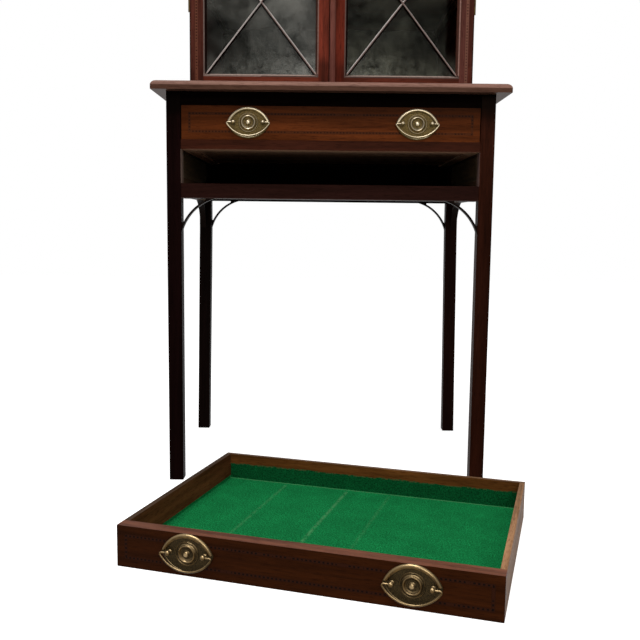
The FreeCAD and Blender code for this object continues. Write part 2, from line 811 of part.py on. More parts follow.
def shelf(level):
    half = CASE_INSIDE - SHELF_SIDE_GAP
    front = CASE_FRONT + SHELF_FRONT_INSET
    return box(-half, half, front, CASE_REAR - CASE_BACK_THICKNESS, level, level + SHELF_THICKNESS)


def shelf_bearer(level):
    """The strip on the right side board that carries a shelf."""
    front = CASE_FRONT + 2 * SHELF_FRONT_INSET
    rear = CASE_REAR - CASE_BACK_THICKNESS
    return box(CASE_INSIDE - BEARER_WIDTH, CASE_INSIDE, front, rear, level - BEARER_HEIGHT, level)


def cornice_section(front, low):
    """The cornice's section in the Y-Z plane: frieze, cove, fillet."""
    cove_low = low + CORNICE_FRIEZE
    cove_high = cove_low + CORNICE_COVE
    top = cove_high + CORNICE_FILLET
    nose = front - CORNICE_PROJECTION
    lean = math.radians(45)
    bend = V(
        0,
        nose + CORNICE_PROJECTION * math.cos(lean),
        cove_low + CORNICE_COVE * math.sin(lean),
    )
    rear = front + CORNICE_THICKNESS
    return Part.Wire(
        [
            line(V(0, front, low), V(0, front, cove_low)),
            arc(V(0, front, cove_low), bend, V(0, nose, cove_high)),
            line(V(0, nose, cove_high), V(0, nose, top)),
            line(V(0, nose, top), V(0, rear, top)),
            line(V(0, rear, top), V(0, rear, low)),
            line(V(0, rear, low), V(0, front, low)),
        ]
    )


def mitre_cut(length, low, high):
    """A block that keeps what lies in front of the right-hand mitre plane."""
    corner_y = DOOR_FRONT
    return prism(
        [
            V(HALF_CASE - length, corner_y + length, low),
            V(HALF_CASE + length, corner_y - length, low),
            V(-HALF_CASE - length, corner_y - length, low),
            V(-HALF_CASE + length, corner_y + length, low),
        ],
        V(0, 0, high - low),
    )


def cornice():
    """The front length and the two side lengths, mitred together at the corners."""
    low = CASE_TOP
    high = low + CORNICE_FRIEZE + CORNICE_COVE + CORNICE_FILLET
    reach = HALF_CASE + CORNICE_PROJECTION
    keep = mitre_cut(CORNICE_PROJECTION * 2, low, high)
    front = Part.Face(cornice_section(DOOR_FRONT, low)).extrude(V(2 * reach, 0, 0))
    front = moved(front, -reach, 0, 0).common(keep)
    length = CASE_REAR - DOOR_FRONT + CORNICE_PROJECTION
    # The side length starts as a front length that is turned a quarter and moved to the right
    side = Part.Face(cornice_section(0, low)).extrude(V(length, 0, 0))
    side = moved(turned(side, 90), HALF_CASE, DOOR_FRONT - CORNICE_PROJECTION, 0)
    side = side.cut(keep)
    return [front, side, mirrored(side)]


# Hinges, drawn on the right side
def hinge_spans():
    """The height of the lower end of each hinge."""
    return [DOOR_BOTTOM + HINGE_INSET, DOOR_TOP - HINGE_INSET - HINGE_LENGTH]


def knuckle(low, high):
    return Part.makeCylinder(KNUCKLE_RADIUS, high - low, V(HINGE_X, HINGE_Y, low))


def leaf(front, low):
    return box(HALF_CASE - HINGE_LEAF_WIDTH, HALF_CASE, front, front + HINGE_LEAF, low, low + HINGE_LENGTH)


def leaf_tab(front, low, high):
    return box(HALF_CASE, HINGE_X, front, front + HINGE_LEAF, low, high)


def knuckle_ends(low):
    """The heights where the hinge's middle knuckle starts and ends."""
    third = HINGE_LENGTH / 3
    return low + third, low + 2 * third


def case_leaf(low):
    """The leaf on the case, with the two outer knuckles and the pin."""
    first, second = knuckle_ends(low)
    high = low + HINGE_LENGTH
    spans = [(low, first - KNUCKLE_GAP / 2), (second + KNUCKLE_GAP / 2, high)]
    solids = [leaf(CASE_FRONT, low)]
    for start, end in spans:
        solids.append(knuckle(start, end))
        solids.append(leaf_tab(CASE_FRONT, start, end))
    solids.append(Part.makeCylinder(HINGE_PIN_RADIUS, HINGE_LENGTH, V(HINGE_X, HINGE_Y, low)))
    return fused(solids)


def door_leaf(low):
    """The leaf on the door, with the middle knuckle that turns on the pin."""
    first, second = knuckle_ends(low)
    start, end = first + KNUCKLE_GAP / 2, second - KNUCKLE_GAP / 2
    back = DOOR_BACK - HINGE_LEAF
    body = fused([leaf(back, low), knuckle(start, end), leaf_tab(back, start, end)])
    bore = Part.makeCylinder(HINGE_PIN_RADIUS + HINGE_PIN_CLEARANCE, HINGE_LENGTH, V(HINGE_X, HINGE_Y, low))
    return body.cut(bore)


def hinge_recesses():
    return [leaf(CASE_FRONT, low) for low in hinge_spans()]


# Doors. A door is drawn on the right, from its meeting edge to the hinge edge
def door_tenons():
    reach_in = MEETING_INNER - DOOR_TENON_LENGTH
    reach_out = STILE_INNER + DOOR_TENON_LENGTH
    middle = (DOOR_FRONT + DOOR_BACK) / 2
    spans = [(DOOR_BOTTOM, SIGHT_BOTTOM), (SIGHT_TOP, DOOR_TOP)]
    return [
        box(
            reach_in,
            reach_out,
            middle,
            middle + DOOR_TENON_THICKNESS,
            low + DOOR_TENON_SHOULDER,
            high - DOOR_TENON_SHOULDER,
        )
        for low, high in spans
    ]


def hinge_stile(tenons):
    board = box(STILE_INNER, HALF_CASE, DOOR_FRONT, DOOR_BACK, DOOR_BOTTOM, DOOR_TOP)
    recesses = [leaf(DOOR_BACK - HINGE_LEAF, low) for low in hinge_spans()]
    return cut(board, tenons + recesses)


def meeting_stile(edge, tenons):
    board = box(edge, MEETING_INNER, DOOR_FRONT, DOOR_BACK, DOOR_BOTTOM, DOOR_TOP)
    return cut(board, tenons)


def door_rails(tenons):
    lower = box(MEETING_INNER, STILE_INNER, DOOR_FRONT, DOOR_BACK, DOOR_BOTTOM, SIGHT_BOTTOM)
    upper = box(MEETING_INNER, STILE_INNER, DOOR_FRONT, DOOR_BACK, SIGHT_TOP, DOOR_TOP)
    return [fused([lower, tenons[0]]), fused([upper, tenons[1]])]


def rectangle_wire(x0, x1, z0, z1, y):
    corners = [V(x0, y, z0), V(x1, y, z0), V(x1, y, z1), V(x0, y, z1)]
    return Part.makePolygon(corners + [corners[0]])


def glass_lip():
    """The moulded lip in front of the glass: a frame whose inner face slopes to the glass."""
    x0, x1 = MEETING_INNER, STILE_INNER
    back = GLASS_FRONT
    frame = box(x0, x1, DOOR_FRONT, back, SIGHT_BOTTOM, SIGHT_TOP)
    near = LIP_WIDTH - LIP_SLOPE
    mouth = rectangle_wire(x0 + near, x1 - near, SIGHT_BOTTOM + near, SIGHT_TOP - near, DOOR_FRONT)
    far = LIP_WIDTH
    throat = rectangle_wire(x0 + far, x1 - far, SIGHT_BOTTOM + far, SIGHT_TOP - far, back)
    return frame.cut(Part.makeLoft([mouth, throat], True, True))


def glazing_bar(start, end):
    """A bar with a ridged section between two points of the glass plane."""
    run = end - start
    across = V(run.z, 0, -run.x)
    across.normalize()
    ridge = V(0, DOOR_FRONT + BAR_FRONT_SETBACK - GLASS_FRONT, 0)
    section = [
        start + across * (BAR_WIDTH / 2),
        start + across * (BAR_RIDGE / 2) + ridge,
        start - across * (BAR_RIDGE / 2) + ridge,
        start - across * (BAR_WIDTH / 2),
    ]
    return prism(section, run)


def lattice_bars():
    """Crossed bars: an X in each cell, the cells one above another."""
    x0, x1 = MEETING_INNER + LIP_WIDTH, STILE_INNER - LIP_WIDTH
    low = SIGHT_BOTTOM + LIP_WIDTH
    cell = GLASS_HEIGHT / LATTICE_CELLS
    bars = []
    for number in range(LATTICE_CELLS):
        z0 = low + number * cell
        for left, right in ((z0, z0 + cell), (z0 + cell, z0)):
            start = V(x0, GLASS_FRONT, left)
            end = V(x1, GLASS_FRONT, right)
            reach = end - start
            reach.normalize()
            bars.append(glazing_bar(start - reach * LIP_WIDTH, end + reach * LIP_WIDTH))
    return bars


def glazing():
    """The lip and the bars, glued up as one lattice in front of the glass."""
    opening = box(MEETING_INNER, STILE_INNER, DOOR_FRONT, GLASS_FRONT, SIGHT_BOTTOM, SIGHT_TOP)
    bars = [bar.common(opening) for bar in lattice_bars()]
    return fused([glass_lip()] + bars)


def glass_pane():
    gap = GLASS_EDGE_GAP
    return box(
        MEETING_INNER + gap,
        STILE_INNER - gap,
        GLASS_FRONT,
        GLASS_BACK,
        SIGHT_BOTTOM + gap,
        SIGHT_TOP - gap,
    )


def glass_beads():
    """The square bead that holds the pane from behind, as one frame."""
    outer = box(MEETING_INNER, STILE_INNER, GLASS_BACK, GLASS_BACK + PUTTY_SIZE, SIGHT_BOTTOM, SIGHT_TOP)
    inner = box(
        MEETING_INNER + PUTTY_SIZE,
        STILE_INNER - PUTTY_SIZE,
        GLASS_BACK,
        GLASS_BACK + PUTTY_SIZE,
        SIGHT_BOTTOM + PUTTY_SIZE,
        SIGHT_TOP - PUTTY_SIZE,
    )
    return outer.cut(inner)


def astragal():
    """The half-round bead on the right door's meeting edge."""
    x0 = RIGHT_DOOR_EDGE
    x1 = x0 + BEAD_WIDTH
    side = DOOR_FRONT - BEAD_FILLET
    crown = V((x0 + x1) / 2, DOOR_FRONT - BEAD_HEIGHT, DOOR_BOTTOM)
    a, b = V(x0, DOOR_FRONT, DOOR_BOTTOM), V(x1, DOOR_FRONT, DOOR_BOTTOM)
    c, d = V(x1, side, DOOR_BOTTOM), V(x0, side, DOOR_BOTTOM)
    section = Part.Wire([line(a, b), line(b, c), arc(c, crown, d), line(d, a)])
    return Part.Face(section).extrude(V(0, 0, DOOR_TOP - DOOR_BOTTOM))


# Lock
def lock_body():
    """The lock's case, let into the back of the right door's meeting stile."""
    return box(
        RIGHT_DOOR_EDGE + BOLT_END_GAP * 2,
        RIGHT_DOOR_EDGE + BOLT_END_GAP * 2 + LOCK_WIDTH,
        DOOR_FRONT + LOCK_FRONT_WOOD,
        LOCK_BACK,
        DOOR_MIDDLE - LOCK_HEIGHT / 2,
        DOOR_MIDDLE + LOCK_HEIGHT / 2,
    )


def bolt_middle_y():
    return DOOR_FRONT + LOCK_FRONT_WOOD + LOCK_THICKNESS / 2


def lock_bolt(grow=0.0, reach=0.0):
    """The bolt, or with values the space round it and ahead of it."""
    x0 = RIGHT_DOOR_EDGE + BOLT_END_GAP
    return box(
        x0 - reach,
        x0 + BOLT_LENGTH + grow,
        bolt_middle_y() - BOLT_THICKNESS / 2 - grow,
        bolt_middle_y() + BOLT_THICKNESS / 2 + grow,
        DOOR_MIDDLE - BOLT_HEIGHT / 2 - grow,
        DOOR_MIDDLE + BOLT_HEIGHT / 2 + grow,
    )


def bolt_space():
    return lock_bolt(BOLT_CLEARANCE, BOLT_THROW + BOLT_CLEARANCE)


def keyhole(x, front, depth):
    """A round hole over a slot."""
    centre = V(x, front, DOOR_MIDDLE)
    round_part = Part.makeCylinder(KEYHOLE_RADIUS, depth, centre, BACK)
    half = KEYHOLE_SLOT / 2
    slot = box(x - half, x + half, front, front + depth, DOOR_MIDDLE - KEYHOLE_DROP, DOOR_MIDDLE)
    return fused([round_part, slot])


def keyhole_x():
    return (RIGHT_DOOR_EDGE + BEAD_WIDTH + MEETING_INNER) / 2


def escutcheon():
    """The oval plate round the keyhole."""
    x = keyhole_x()
    front = DOOR_FRONT - PLATE_OVAL_THICKNESS
    ellipse = Part.Ellipse(V(0, 0, 0), PLATE_OVAL_HEIGHT / 2, PLATE_OVAL_WIDTH / 2).toShape()
    face = Part.Face(Part.Wire(ellipse))
    face.rotate(V(0, 0, 0), UP, 90)
    face.rotate(V(0, 0, 0), RIGHT, 90)
    face.translate(V(x, front, DOOR_MIDDLE))
    plate = face.extrude(V(0, PLATE_OVAL_THICKNESS, 0))
    return plate.cut(keyhole(x, front, PLATE_OVAL_THICKNESS))


def build_stand():
    """All pieces of the stand, by node name."""
    bottom = front_rail(RAIL_BOTTOM, LOWER_FLOOR)
    middle = front_rail(LOWER_CEILING, UPPER_FLOOR)
    top = front_rail(UPPER_CEILING, APRON_TOP)
    back = back_rail()
    right_side = side_rail()
    left_side = mirrored(right_side)
    dust = board_between_rails(LOWER_CEILING + DUST_BOARD_RAISE)
    floor = board_between_rails(RAIL_BOTTOM + BOTTOM_BOARD_RAISE)
    rails = [bottom, middle, top, back, right_side, left_side]
    lower_runner = runner(FRONT_RAIL_DEPTH, LOWER_FLOOR)
    upper_runner = runner(FRONT_RAIL_DEPTH, UPPER_FLOOR)
    guides = [guide(LOWER_FLOOR), guide(UPPER_FLOOR), kicker()]
    right_runners = [upper_runner.cut(dust), lower_runner.cut(floor)]
    stops = [drawer_stop(LOWER_FLOOR), drawer_stop(UPPER_FLOOR)]
    pieces = {
        "front_left_leg": [leg(-HALF_STAND, 0, rails)],
        "front_right_leg": [leg(HALF_OPENING, 0, rails)],
        "rear_left_leg": [leg(-HALF_STAND, REAR_LEG_FRONT, rails, -REAR_LEG_SPLAY)],
        "rear_right_leg": [leg(HALF_OPENING, REAR_LEG_FRONT, rails, REAR_LEG_SPLAY)],
        "stand_top": [moulded_top()],
        "top_rail": [top],
        "mid_rail": [middle.cut(dust)],
        "bottom_rail": [bottom.cut(floor)],
        "left_side_rail": [left_side],
        "right_side_rail": [right_side],
        "back_rail": [back],
        "dust_board": [dust],
        "bottom_board": [floor],
        "drawer_runners": right_runners + [mirrored(r) for r in right_runners],
        "drawer_guides": guides + [mirrored(g) for g in guides],
        "drawer_stops": stops + [mirrored(stop) for stop in stops],
        "front_brackets": front_brackets(),
        "side_brackets": side_brackets(),
        "rear_brackets": rear_brackets(),
    }
    return pieces


def build_case():
    """The case's own pieces, by node name."""
    right = case_side()
    levels = shelf_levels()
    bearers = [shelf_bearer(level) for level in levels]
    right_leaves = [case_leaf(low) for low in hinge_spans()]
    return {
        "case_left_side": [mirrored(right)],
        "case_right_side": [right],
        "case_bottom": [case_board(STAND_HEIGHT)],
        "case_top": [case_board(CASE_CEILING)],
        "case_back": [case_back()],
        "shelves": [shelf(level) for level in levels],
        "shelf_bearers": bearers + [mirrored(b) for b in bearers],
        "cornice": cornice(),
        "case_hinge_leaves": right_leaves + [mirrored(part) for part in right_leaves],
    }


def build_door(side):
    """The pieces that both doors have, by node name, for side left or right."""
    edge = RIGHT_DOOR_EDGE if side == "right" else -LEFT_DOOR_EDGE
    tenons = door_tenons()
    stile = meeting_stile(edge, tenons)
    pieces = {
        "hinge_stile": [hinge_stile(tenons)],
        "meeting_stile": [stile],
        "door_rails": door_rails(tenons),
        "glazing": [glazing(), glass_beads()],
        "glass": [glass_pane()],
        "hinge_leaves": [door_leaf(low) for low in hinge_spans()],
    }
    if side == "left":
        pieces = {name: [mirrored(s) for s in shapes] for name, shapes in pieces.items()}
        pieces["meeting_stile"] = [pieces["meeting_stile"][0].cut(bolt_space())]
    else:
        cuts = [lock_body(), bolt_space(), keyhole(keyhole_x(), DOOR_FRONT, LOCK_FRONT_WOOD)]
        pieces["meeting_stile"] = [cut(stile, cuts)]
    return {f"{side}_{name}": shapes for name, shapes in pieces.items()}


def build_lock():
    return {
        "astragal_bead": [astragal()],
        "lock_case": [lock_body().cut(bolt_space()), escutcheon()],
        "lock_bolt": [lock_bolt()],
    }


def build_drawers():
    """Both drawers, the upper one in the stand and the lower one on the floor."""
    upper_centres = handle_centres(
        UPPER_DRAWER_HEIGHT, UPPER_HANDLE_SPACING, UPPER_HANDLE_SHIFT, UPPER_HANDLE_RAISE
    )
    lower_centres = handle_centres(
        LOWER_DRAWER_HEIGHT, LOWER_HANDLE_SPACING, LOWER_HANDLE_SHIFT, LOWER_HANDLE_RAISE
    )
    pieces = {}
    for name, shapes in drawer(UPPER_DRAWER_HEIGHT, upper_centres).items():
        pieces[f"upper_drawer_{name}"] = [in_stand(s) for s in shapes]
    for name, shapes in drawer(LOWER_DRAWER_HEIGHT, lower_centres).items():
        pieces[f"lower_drawer_{name}"] = [on_floor(s) for s in shapes]
    pieces["baize_lining"] = [on_floor(baize_lining())]
    return pieces


def write(node, shapes):
    """Writes one node, shifted to the final origin, as parts/NODE.step."""
    placed = [moved(s, ORIGIN_SHIFT.x, ORIGIN_SHIFT.y, ORIGIN_SHIFT.z) for s in shapes]
    solids = [solid for s in placed for solid in s.Solids]
    whole = solids[0] if len(solids) == 1 else Part.makeCompound(solids)
    whole.exportStep(f"parts/{node}.step")


def main():
    os.makedirs("parts", exist_ok=True)
    pieces = {}
    pieces.update(build_stand())
    pieces.update(build_case())
    pieces.update(build_door("left"))
    pieces.update(build_door("right"))
    pieces.update(build_lock())
    pieces.update(build_drawers())
    for node, shapes in pieces.items():
        write(node, shapes)
    print(len(pieces), "nodes,", sum(len(s.Solids) for shapes in pieces.values() for s in shapes), "solids")


main()
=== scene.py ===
"""The display cabinet's looks: polished mahogany, inlaid bands, old brass, dusty glass, baize."""

import math
import random

import bpy
from mathutils import Matrix, Vector

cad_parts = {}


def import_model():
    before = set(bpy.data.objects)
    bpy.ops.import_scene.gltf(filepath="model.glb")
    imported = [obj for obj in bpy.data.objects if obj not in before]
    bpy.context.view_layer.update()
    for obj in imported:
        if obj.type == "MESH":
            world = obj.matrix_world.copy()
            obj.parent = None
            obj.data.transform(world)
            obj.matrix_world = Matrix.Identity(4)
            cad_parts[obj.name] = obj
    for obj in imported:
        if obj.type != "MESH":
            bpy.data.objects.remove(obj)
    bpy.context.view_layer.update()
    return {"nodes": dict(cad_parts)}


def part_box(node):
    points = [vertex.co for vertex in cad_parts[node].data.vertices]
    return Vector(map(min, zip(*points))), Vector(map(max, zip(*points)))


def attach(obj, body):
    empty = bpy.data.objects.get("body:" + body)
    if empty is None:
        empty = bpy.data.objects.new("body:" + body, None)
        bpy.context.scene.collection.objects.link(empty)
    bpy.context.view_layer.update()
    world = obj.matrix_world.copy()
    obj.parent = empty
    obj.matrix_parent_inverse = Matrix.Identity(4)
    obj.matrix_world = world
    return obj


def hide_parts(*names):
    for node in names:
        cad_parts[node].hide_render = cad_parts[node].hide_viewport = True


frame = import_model()
NODES = frame["nodes"]

# The CAD sizes that the looks follow, in metres
DRAWER_WIDTH = 0.5641
DRAWER_HEIGHT = 0.0632
DRAWER_DEPTH = 0.4115
DRAWER_SIDE = 0.009
DRAWER_BACK = 0.008
DRAWER_FRONT = 0.022
UPPER_DRAWER_Y = 0.001
UPPER_DRAWER_Z = 0.6643
FLOOR_DRAWER_X = -0.3115
FLOOR_DRAWER_Y = -0.4148
FLOOR_DRAWER_TURN = math.radians(-16.85)
BAIZE_TOP = 0.0168
LIP = 0.006
PLATE_RELIEF = 0.0082

# The camera, solved from the photograph: its place in the stand's own coordinates, its turn,
# and its focal length in pixels of a picture 640 pixels wide
CAMERA_PLACE = Vector((-0.010, -1.591, 0.510))
CAMERA_YAW = math.radians(0.21)
CAMERA_PITCH = math.radians(-6.71)
CAMERA_ROLL = math.radians(0.66)
FOCAL_PIXELS = 826.0
PICTURE_PIXELS = 640.0
SENSOR_WIDTH = 36.0

WHITE = (1.0, 1.0, 1.0, 1.0)


def stand_origin():
    """The stand's own origin, the middle of its front at the floor, in the row frame."""
    low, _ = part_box("front_left_leg")
    _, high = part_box("front_right_leg")
    return Vector(((low.x + high.x) / 2, low.y, 0.0))


STAND = stand_origin()

# Each drawer's own origin and turn: the lower left corner of its front's face
UPPER = dict(
    origin=tuple(STAND + Vector((-DRAWER_WIDTH / 2, UPPER_DRAWER_Y, UPPER_DRAWER_Z))),
    turn=0.0,
)
LOWER = dict(
    origin=tuple(STAND + Vector((FLOOR_DRAWER_X, FLOOR_DRAWER_Y, 0.0))),
    turn=FLOOR_DRAWER_TURN,
)


# Camera
def make_camera():
    forward = Vector(
        (
            -math.sin(CAMERA_YAW) * math.cos(CAMERA_PITCH),
            math.cos(CAMERA_YAW) * math.cos(CAMERA_PITCH),
            math.sin(CAMERA_PITCH),
        )
    )
    right = Vector((math.cos(CAMERA_YAW), math.sin(CAMERA_YAW), 0.0))
    up = right.cross(forward)
    rolled_right = right * math.cos(CAMERA_ROLL) + up * math.sin(CAMERA_ROLL)
    rolled_up = up * math.cos(CAMERA_ROLL) - right * math.sin(CAMERA_ROLL)
    data = bpy.data.cameras.new("camera")
    data.sensor_fit = "HORIZONTAL"
    data.sensor_width = SENSOR_WIDTH
    data.lens = SENSOR_WIDTH * FOCAL_PIXELS / PICTURE_PIXELS
    data.clip_start = 0.05
    camera = bpy.data.objects.new("camera", data)
    bpy.context.scene.collection.objects.link(camera)
    turn = Matrix((rolled_right, rolled_up, -forward)).transposed().to_4x4()
    camera.matrix_world = Matrix.Translation(STAND + CAMERA_PLACE) @ turn
    bpy.context.scene.camera = camera


make_camera()
bpy.context.scene.view_settings.view_transform = "Standard"


# Shader nodes
class Value:
    """An output of a shader node, which can be added, multiplied and compared like a number."""

    def __init__(self, tree, socket):
        self.tree = tree
        self.socket = socket

    def maths(self, operation, *others):
        return result(self.tree, "Math", self, *others, operation=operation)

    def __add__(self, other):
        return self.maths("ADD", other)

    def __sub__(self, other):
        return self.maths("SUBTRACT", other)

    def __rsub__(self, other):
        return self * -1.0 + other

    def __mul__(self, other):
        return self.maths("MULTIPLY", other)

    def __truediv__(self, other):
        return self.maths("DIVIDE", other)

    def __pow__(self, other):
        return self.maths("POWER", other)

    def __neg__(self):
        return self * -1.0

    def __abs__(self):
        return self.maths("ABSOLUTE")

    def __lt__(self, other):
        return self.maths("LESS_THAN", other)

    def __gt__(self, other):
        return self.maths("GREATER_THAN", other)

    def at_least(self, other):
        return self.maths("MAXIMUM", other)

    def at_most(self, other):
        return self.maths("MINIMUM", other)


def feed(socket, value):
    """Links a Value to an input socket, or sets the socket to a number or colour."""
    if isinstance(value, Value):
        value.tree.links.new(value.socket, socket)
    else:
        socket.default_value = value


def add(tree, kind, *inputs, **settings):
    """A new node, with its first inputs in order, and settings or named inputs."""
    node = tree.nodes.new("ShaderNode" + kind)
    for name, value in settings.items():
        if hasattr(node, name):
            setattr(node, name, value)
        else:
            feed(node.inputs[name], value)
    for socket, value in zip(node.inputs, inputs):
        feed(socket, value)
    return node


def result(tree, kind, *inputs, **settings):
    """The first output of a new node."""
    return Value(tree, add(tree, kind, *inputs, **settings).outputs[0])


def coordinates(tree, kind):
    """A point's place (Object), its place in its piece's box (Generated) or its Normal."""
    return Value(tree, add(tree, "TexCoord").outputs[kind])


def split(vector):
    """The X, Y and Z of a vector."""
    node = add(vector.tree, "SeparateXYZ", vector)
    return {axis: Value(vector.tree, node.outputs[axis]) for axis in "XYZ"}


def place(tree, origin=(0.0, 0.0, 0.0), turn=0.0):
    """Coordinates seen from an origin in the row frame, turned with the piece, in metres."""
    at = Matrix.Rotation(-turn, 3, "Z") @ Vector(origin)
    return result(tree, "Mapping", coordinates(tree, "Object"), Location=-at, Rotation=(0.0, 0.0, -turn))


def noise(vector, scale, detail, roughness, distortion=0.0):
    settings = dict(Scale=scale, Detail=detail, Roughness=roughness, Distortion=distortion)
    return result(vector.tree, "TexNoise", vector, **settings)


def between(value, start, full):
    """0 up to the start, 1 from where it is full, and even in between."""
    return ((value - start) / (full - start)).at_most(1.0).at_least(0.0)


# Colours
def linear(red, green, blue):
    """A colour read as 0 to 255 values, as linear light."""

    def channel(value):
        value /= 255.0
        return value / 12.92 if value <= 0.04045 else ((value + 0.055) / 1.055) ** 2.4

    return channel(red), channel(green), channel(blue), 1.0


def grey(brightness):
    return brightness, brightness, brightness, 1.0


def scaled(colour, factor):
    return tuple(min(1.0, channel * factor) for channel in colour[:3]) + (1.0,)


def ramp(factor, *stops):
    """A colour ramp with the given (place, colour) stops."""
    node = add(factor.tree, "ValToRGB", factor)
    elements = node.color_ramp.elements
    while len(elements) < len(stops):
        elements.new(0.5)
    for element, (position, colour) in zip(elements, stops):
        element.position = position
        element.color = colour
    return Value(factor.tree, node.outputs["Color"])


def blend_colours(tree, kind, factor, first, second):
    """A Mix node for colours, whose sockets for them are 6 and 7, and whose output is 2."""
    node = add(tree, "Mix", data_type="RGBA", blend_type=kind)
    feed(node.inputs[0], factor)
    feed(node.inputs[6], first)
    feed(node.inputs[7], second)
    return Value(tree, node.outputs[2])


def mix(factor, first, second):
    """The first colour where the factor is 0, and the second where it is 1."""
    return blend_colours(factor.tree, "MIX", factor, first, second)


def times(colour, other):
    """Two colours multiplied, channel by channel."""
    return blend_colours(colour.tree, "MULTIPLY", 1.0, colour, other)


# Materials
def new_material(name):
    material = bpy.data.materials.new(name)
    material.use_nodes = True
    tree = material.node_tree
    return material, tree, tree.nodes["Principled BSDF"]


def set_surface(shader, colour, roughness, gloss=None):
    """Sets the shader's colour, its roughness and, unless it is a metal, its specular level."""
    feed(shader.inputs["Base Color"], colour)
    feed(shader.inputs["Roughness"], roughness)
    if gloss is not None:
        feed(shader.inputs["Specular IOR Level"], gloss)


def bump(shader, height, strength, distance):
    normal = result(height.tree, "Bump", Height=height, Strength=strength, Distance=distance)
    feed(shader.inputs["Normal"], normal)


def paint(node, material):
    """Gives a CAD node its material."""
    piece = NODES[node]
    piece.data.materials.clear()
    piece.data.materials.append(material)


# Mahogany. The grain is drawn out along one axis
GRAIN = {"x": (0.06, 1.0, 1.0), "y": (1.0, 0.06, 1.0), "z": (1.0, 1.0, 0.06)}
WOOD_SPECULAR_TINT = (1.0, 0.62, 0.45, 1.0)
PORE_TONE = (0.6, 0.55, 0.55, 1.0)
# How strong the slow change of tone is, as a share of the streaks' contrast
SLOW_SHARE = 0.8
# A face looks along an axis if more than this much of its direction does
FACING = 0.7

# Tones that are darker or brighter at some heights, as pairs of height and brightness. The upper
# drawer's front and the front legs carry painted shade under the stand's top; the stiles are darker
# towards the bottom
# The upper drawer's front: painted shade of the stand's top, darker towards its top edge and lighter
# towards its bottom
UPPER_PAINTED_SHADE = ((0.662, 1.42), (0.682, 1.28), (0.697, 0.99), (0.712, 0.68), (0.728, 0.5))
HEIGHT_SHADES = {
    # The front legs: painted shade under the stand's top; the right leg also grows lighter up to just
    # below it
    "front_left_leg": ((0.0, 1.0), (0.705, 1.0), (0.713, 0.3), (0.73, 0.08), (0.753, 0.05)),
    "front_right_leg": (
        (0.0, 0.9),
        (0.45, 1.0),
        (0.68, 1.45),
        (0.70, 1.1),
        (0.712, 0.45),
        (0.73, 0.04),
        (0.753, 0.02),
    ),
    # The door stiles: darker towards the bottom
    "left_hinge_stile": (
        (0.772, 0.66),
        (0.795, 0.75),
        (0.808, 1.0),
        (0.85, 1.1),
        (0.9, 1.2),
        (1.36, 1.2),
    ),
    "left_meeting_stile": (
        (0.772, 0.64),
        (0.812, 0.66),
        (0.83, 1.4),
        (0.9, 1.5),
        (1.0, 1.3),
        (1.36, 1.2),
    ),
    "right_meeting_stile": (
        (0.772, 0.9),
        (0.79, 0.65),
        (0.806, 0.8),
        (0.824, 1.4),
        (0.85, 1.7),
        (0.9, 1.4),
        (1.36, 1.3),
    ),
}


def shaded_by_height(colour, height_shade):
    """A colour made darker or lighter with the height, by (height, brightness) pairs."""
    low, high = height_shade[0][0], height_shade[-1][0]
    height = split(coordinates(colour.tree, "Object"))["Z"]
    stops = [((at - low) / (high - low), grey(brightness)) for at, brightness in height_shade]
    return times(colour, ramp((height - low) / (high - low), *stops))


def streaked(streaks, tone, contrast):
    """A tone, darker and lighter along the streaks."""
    middle = linear(*tone)
    dark, light = scaled(middle, 1.0 - contrast), scaled(middle, 1.0 + contrast)
    return ramp(streaks, (0.34, dark), (0.66, light))


def wood(name, tone, axis, contrast, gloss, seed, faces=(), height_shade=(), origin=(0, 0, 0), turn=0.0):
    """Straight-grained mahogany: long streaks, short dark pores, and a slow change of tone.

    Each entry of faces gives some faces their own tone: (direction, tone), or with a span
    (direction, tone, lowest, highest, axis), where the direction is an axis with its sign.
    """
    material, tree, shader = new_material(name)
    local = place(tree, origin, turn)
    moved = result(tree, "Mapping", local, Location=(seed * 0.37, seed * 0.53, seed * 0.71))
    grain = result(tree, "Mapping", moved, Scale=GRAIN[axis])
    streaks = noise(grain, scale=85.0, detail=5.0, roughness=0.6, distortion=0.4)
    colour = streaked(streaks, tone, contrast)
    facing = split(coordinates(tree, "Normal"))
    spot = split(local)
    for (sign, facing_axis), own_tone, *span in faces:
        along = -facing[facing_axis] if sign == "-" else facing[facing_axis]
        chosen = along > FACING
        if span:
            lowest, highest, span_axis = span
            chosen = chosen * (spot[span_axis] > lowest) * (spot[span_axis] < highest)
        colour = mix(chosen, colour, streaked(streaks, own_tone, contrast))
    pores = noise(grain, scale=900.0, detail=2.0, roughness=0.5)
    slow = noise(grain, scale=14.0, detail=2.0, roughness=0.5)
    change = SLOW_SHARE * contrast
    colour = times(colour, ramp(pores, (0.36, PORE_TONE), (0.46, WHITE)))
    colour = times(colour, ramp(slow, (0.35, grey(1.0 - change)), (0.65, grey(1.0 + change))))
    if height_shade:
        colour = shaded_by_height(colour, height_shade)
    set_surface(shader, colour, roughness=0.42, gloss=gloss)
    feed(shader.inputs["Specular Tint"], WOOD_SPECULAR_TINT)
    bump(shader, pores, strength=0.12, distance=0.0004)
    return material


# The lower drawer's opening, where the legs' inner faces carry a pale painted highlight
OPENING = (0.582, 0.646, "Z")
# The rounded upper part of the stand's moulded edge
OVOLO = (0.7612, 0.7702, "Z")
# A pale line along the lower edge of the bottom rail's front
RAIL_EDGE = (0.554, 0.5553, "Z")
# Outer faces that get more light than the front
OUTSIDE_LEFT = (("-X", (50, 22, 15)), ("+Y", (54, 24, 16)))
OUTSIDE_RIGHT = (("+X", (54, 24, 17)), ("+Y", (54, 24, 16)))
# Faces with a tone of their own
LEFT_LEG_FACES = (("+X", (122, 102, 92), *OPENING), *OUTSIDE_LEFT)
RIGHT_LEG_FACES = (("-X", (106, 84, 78), *OPENING), *OUTSIDE_RIGHT)
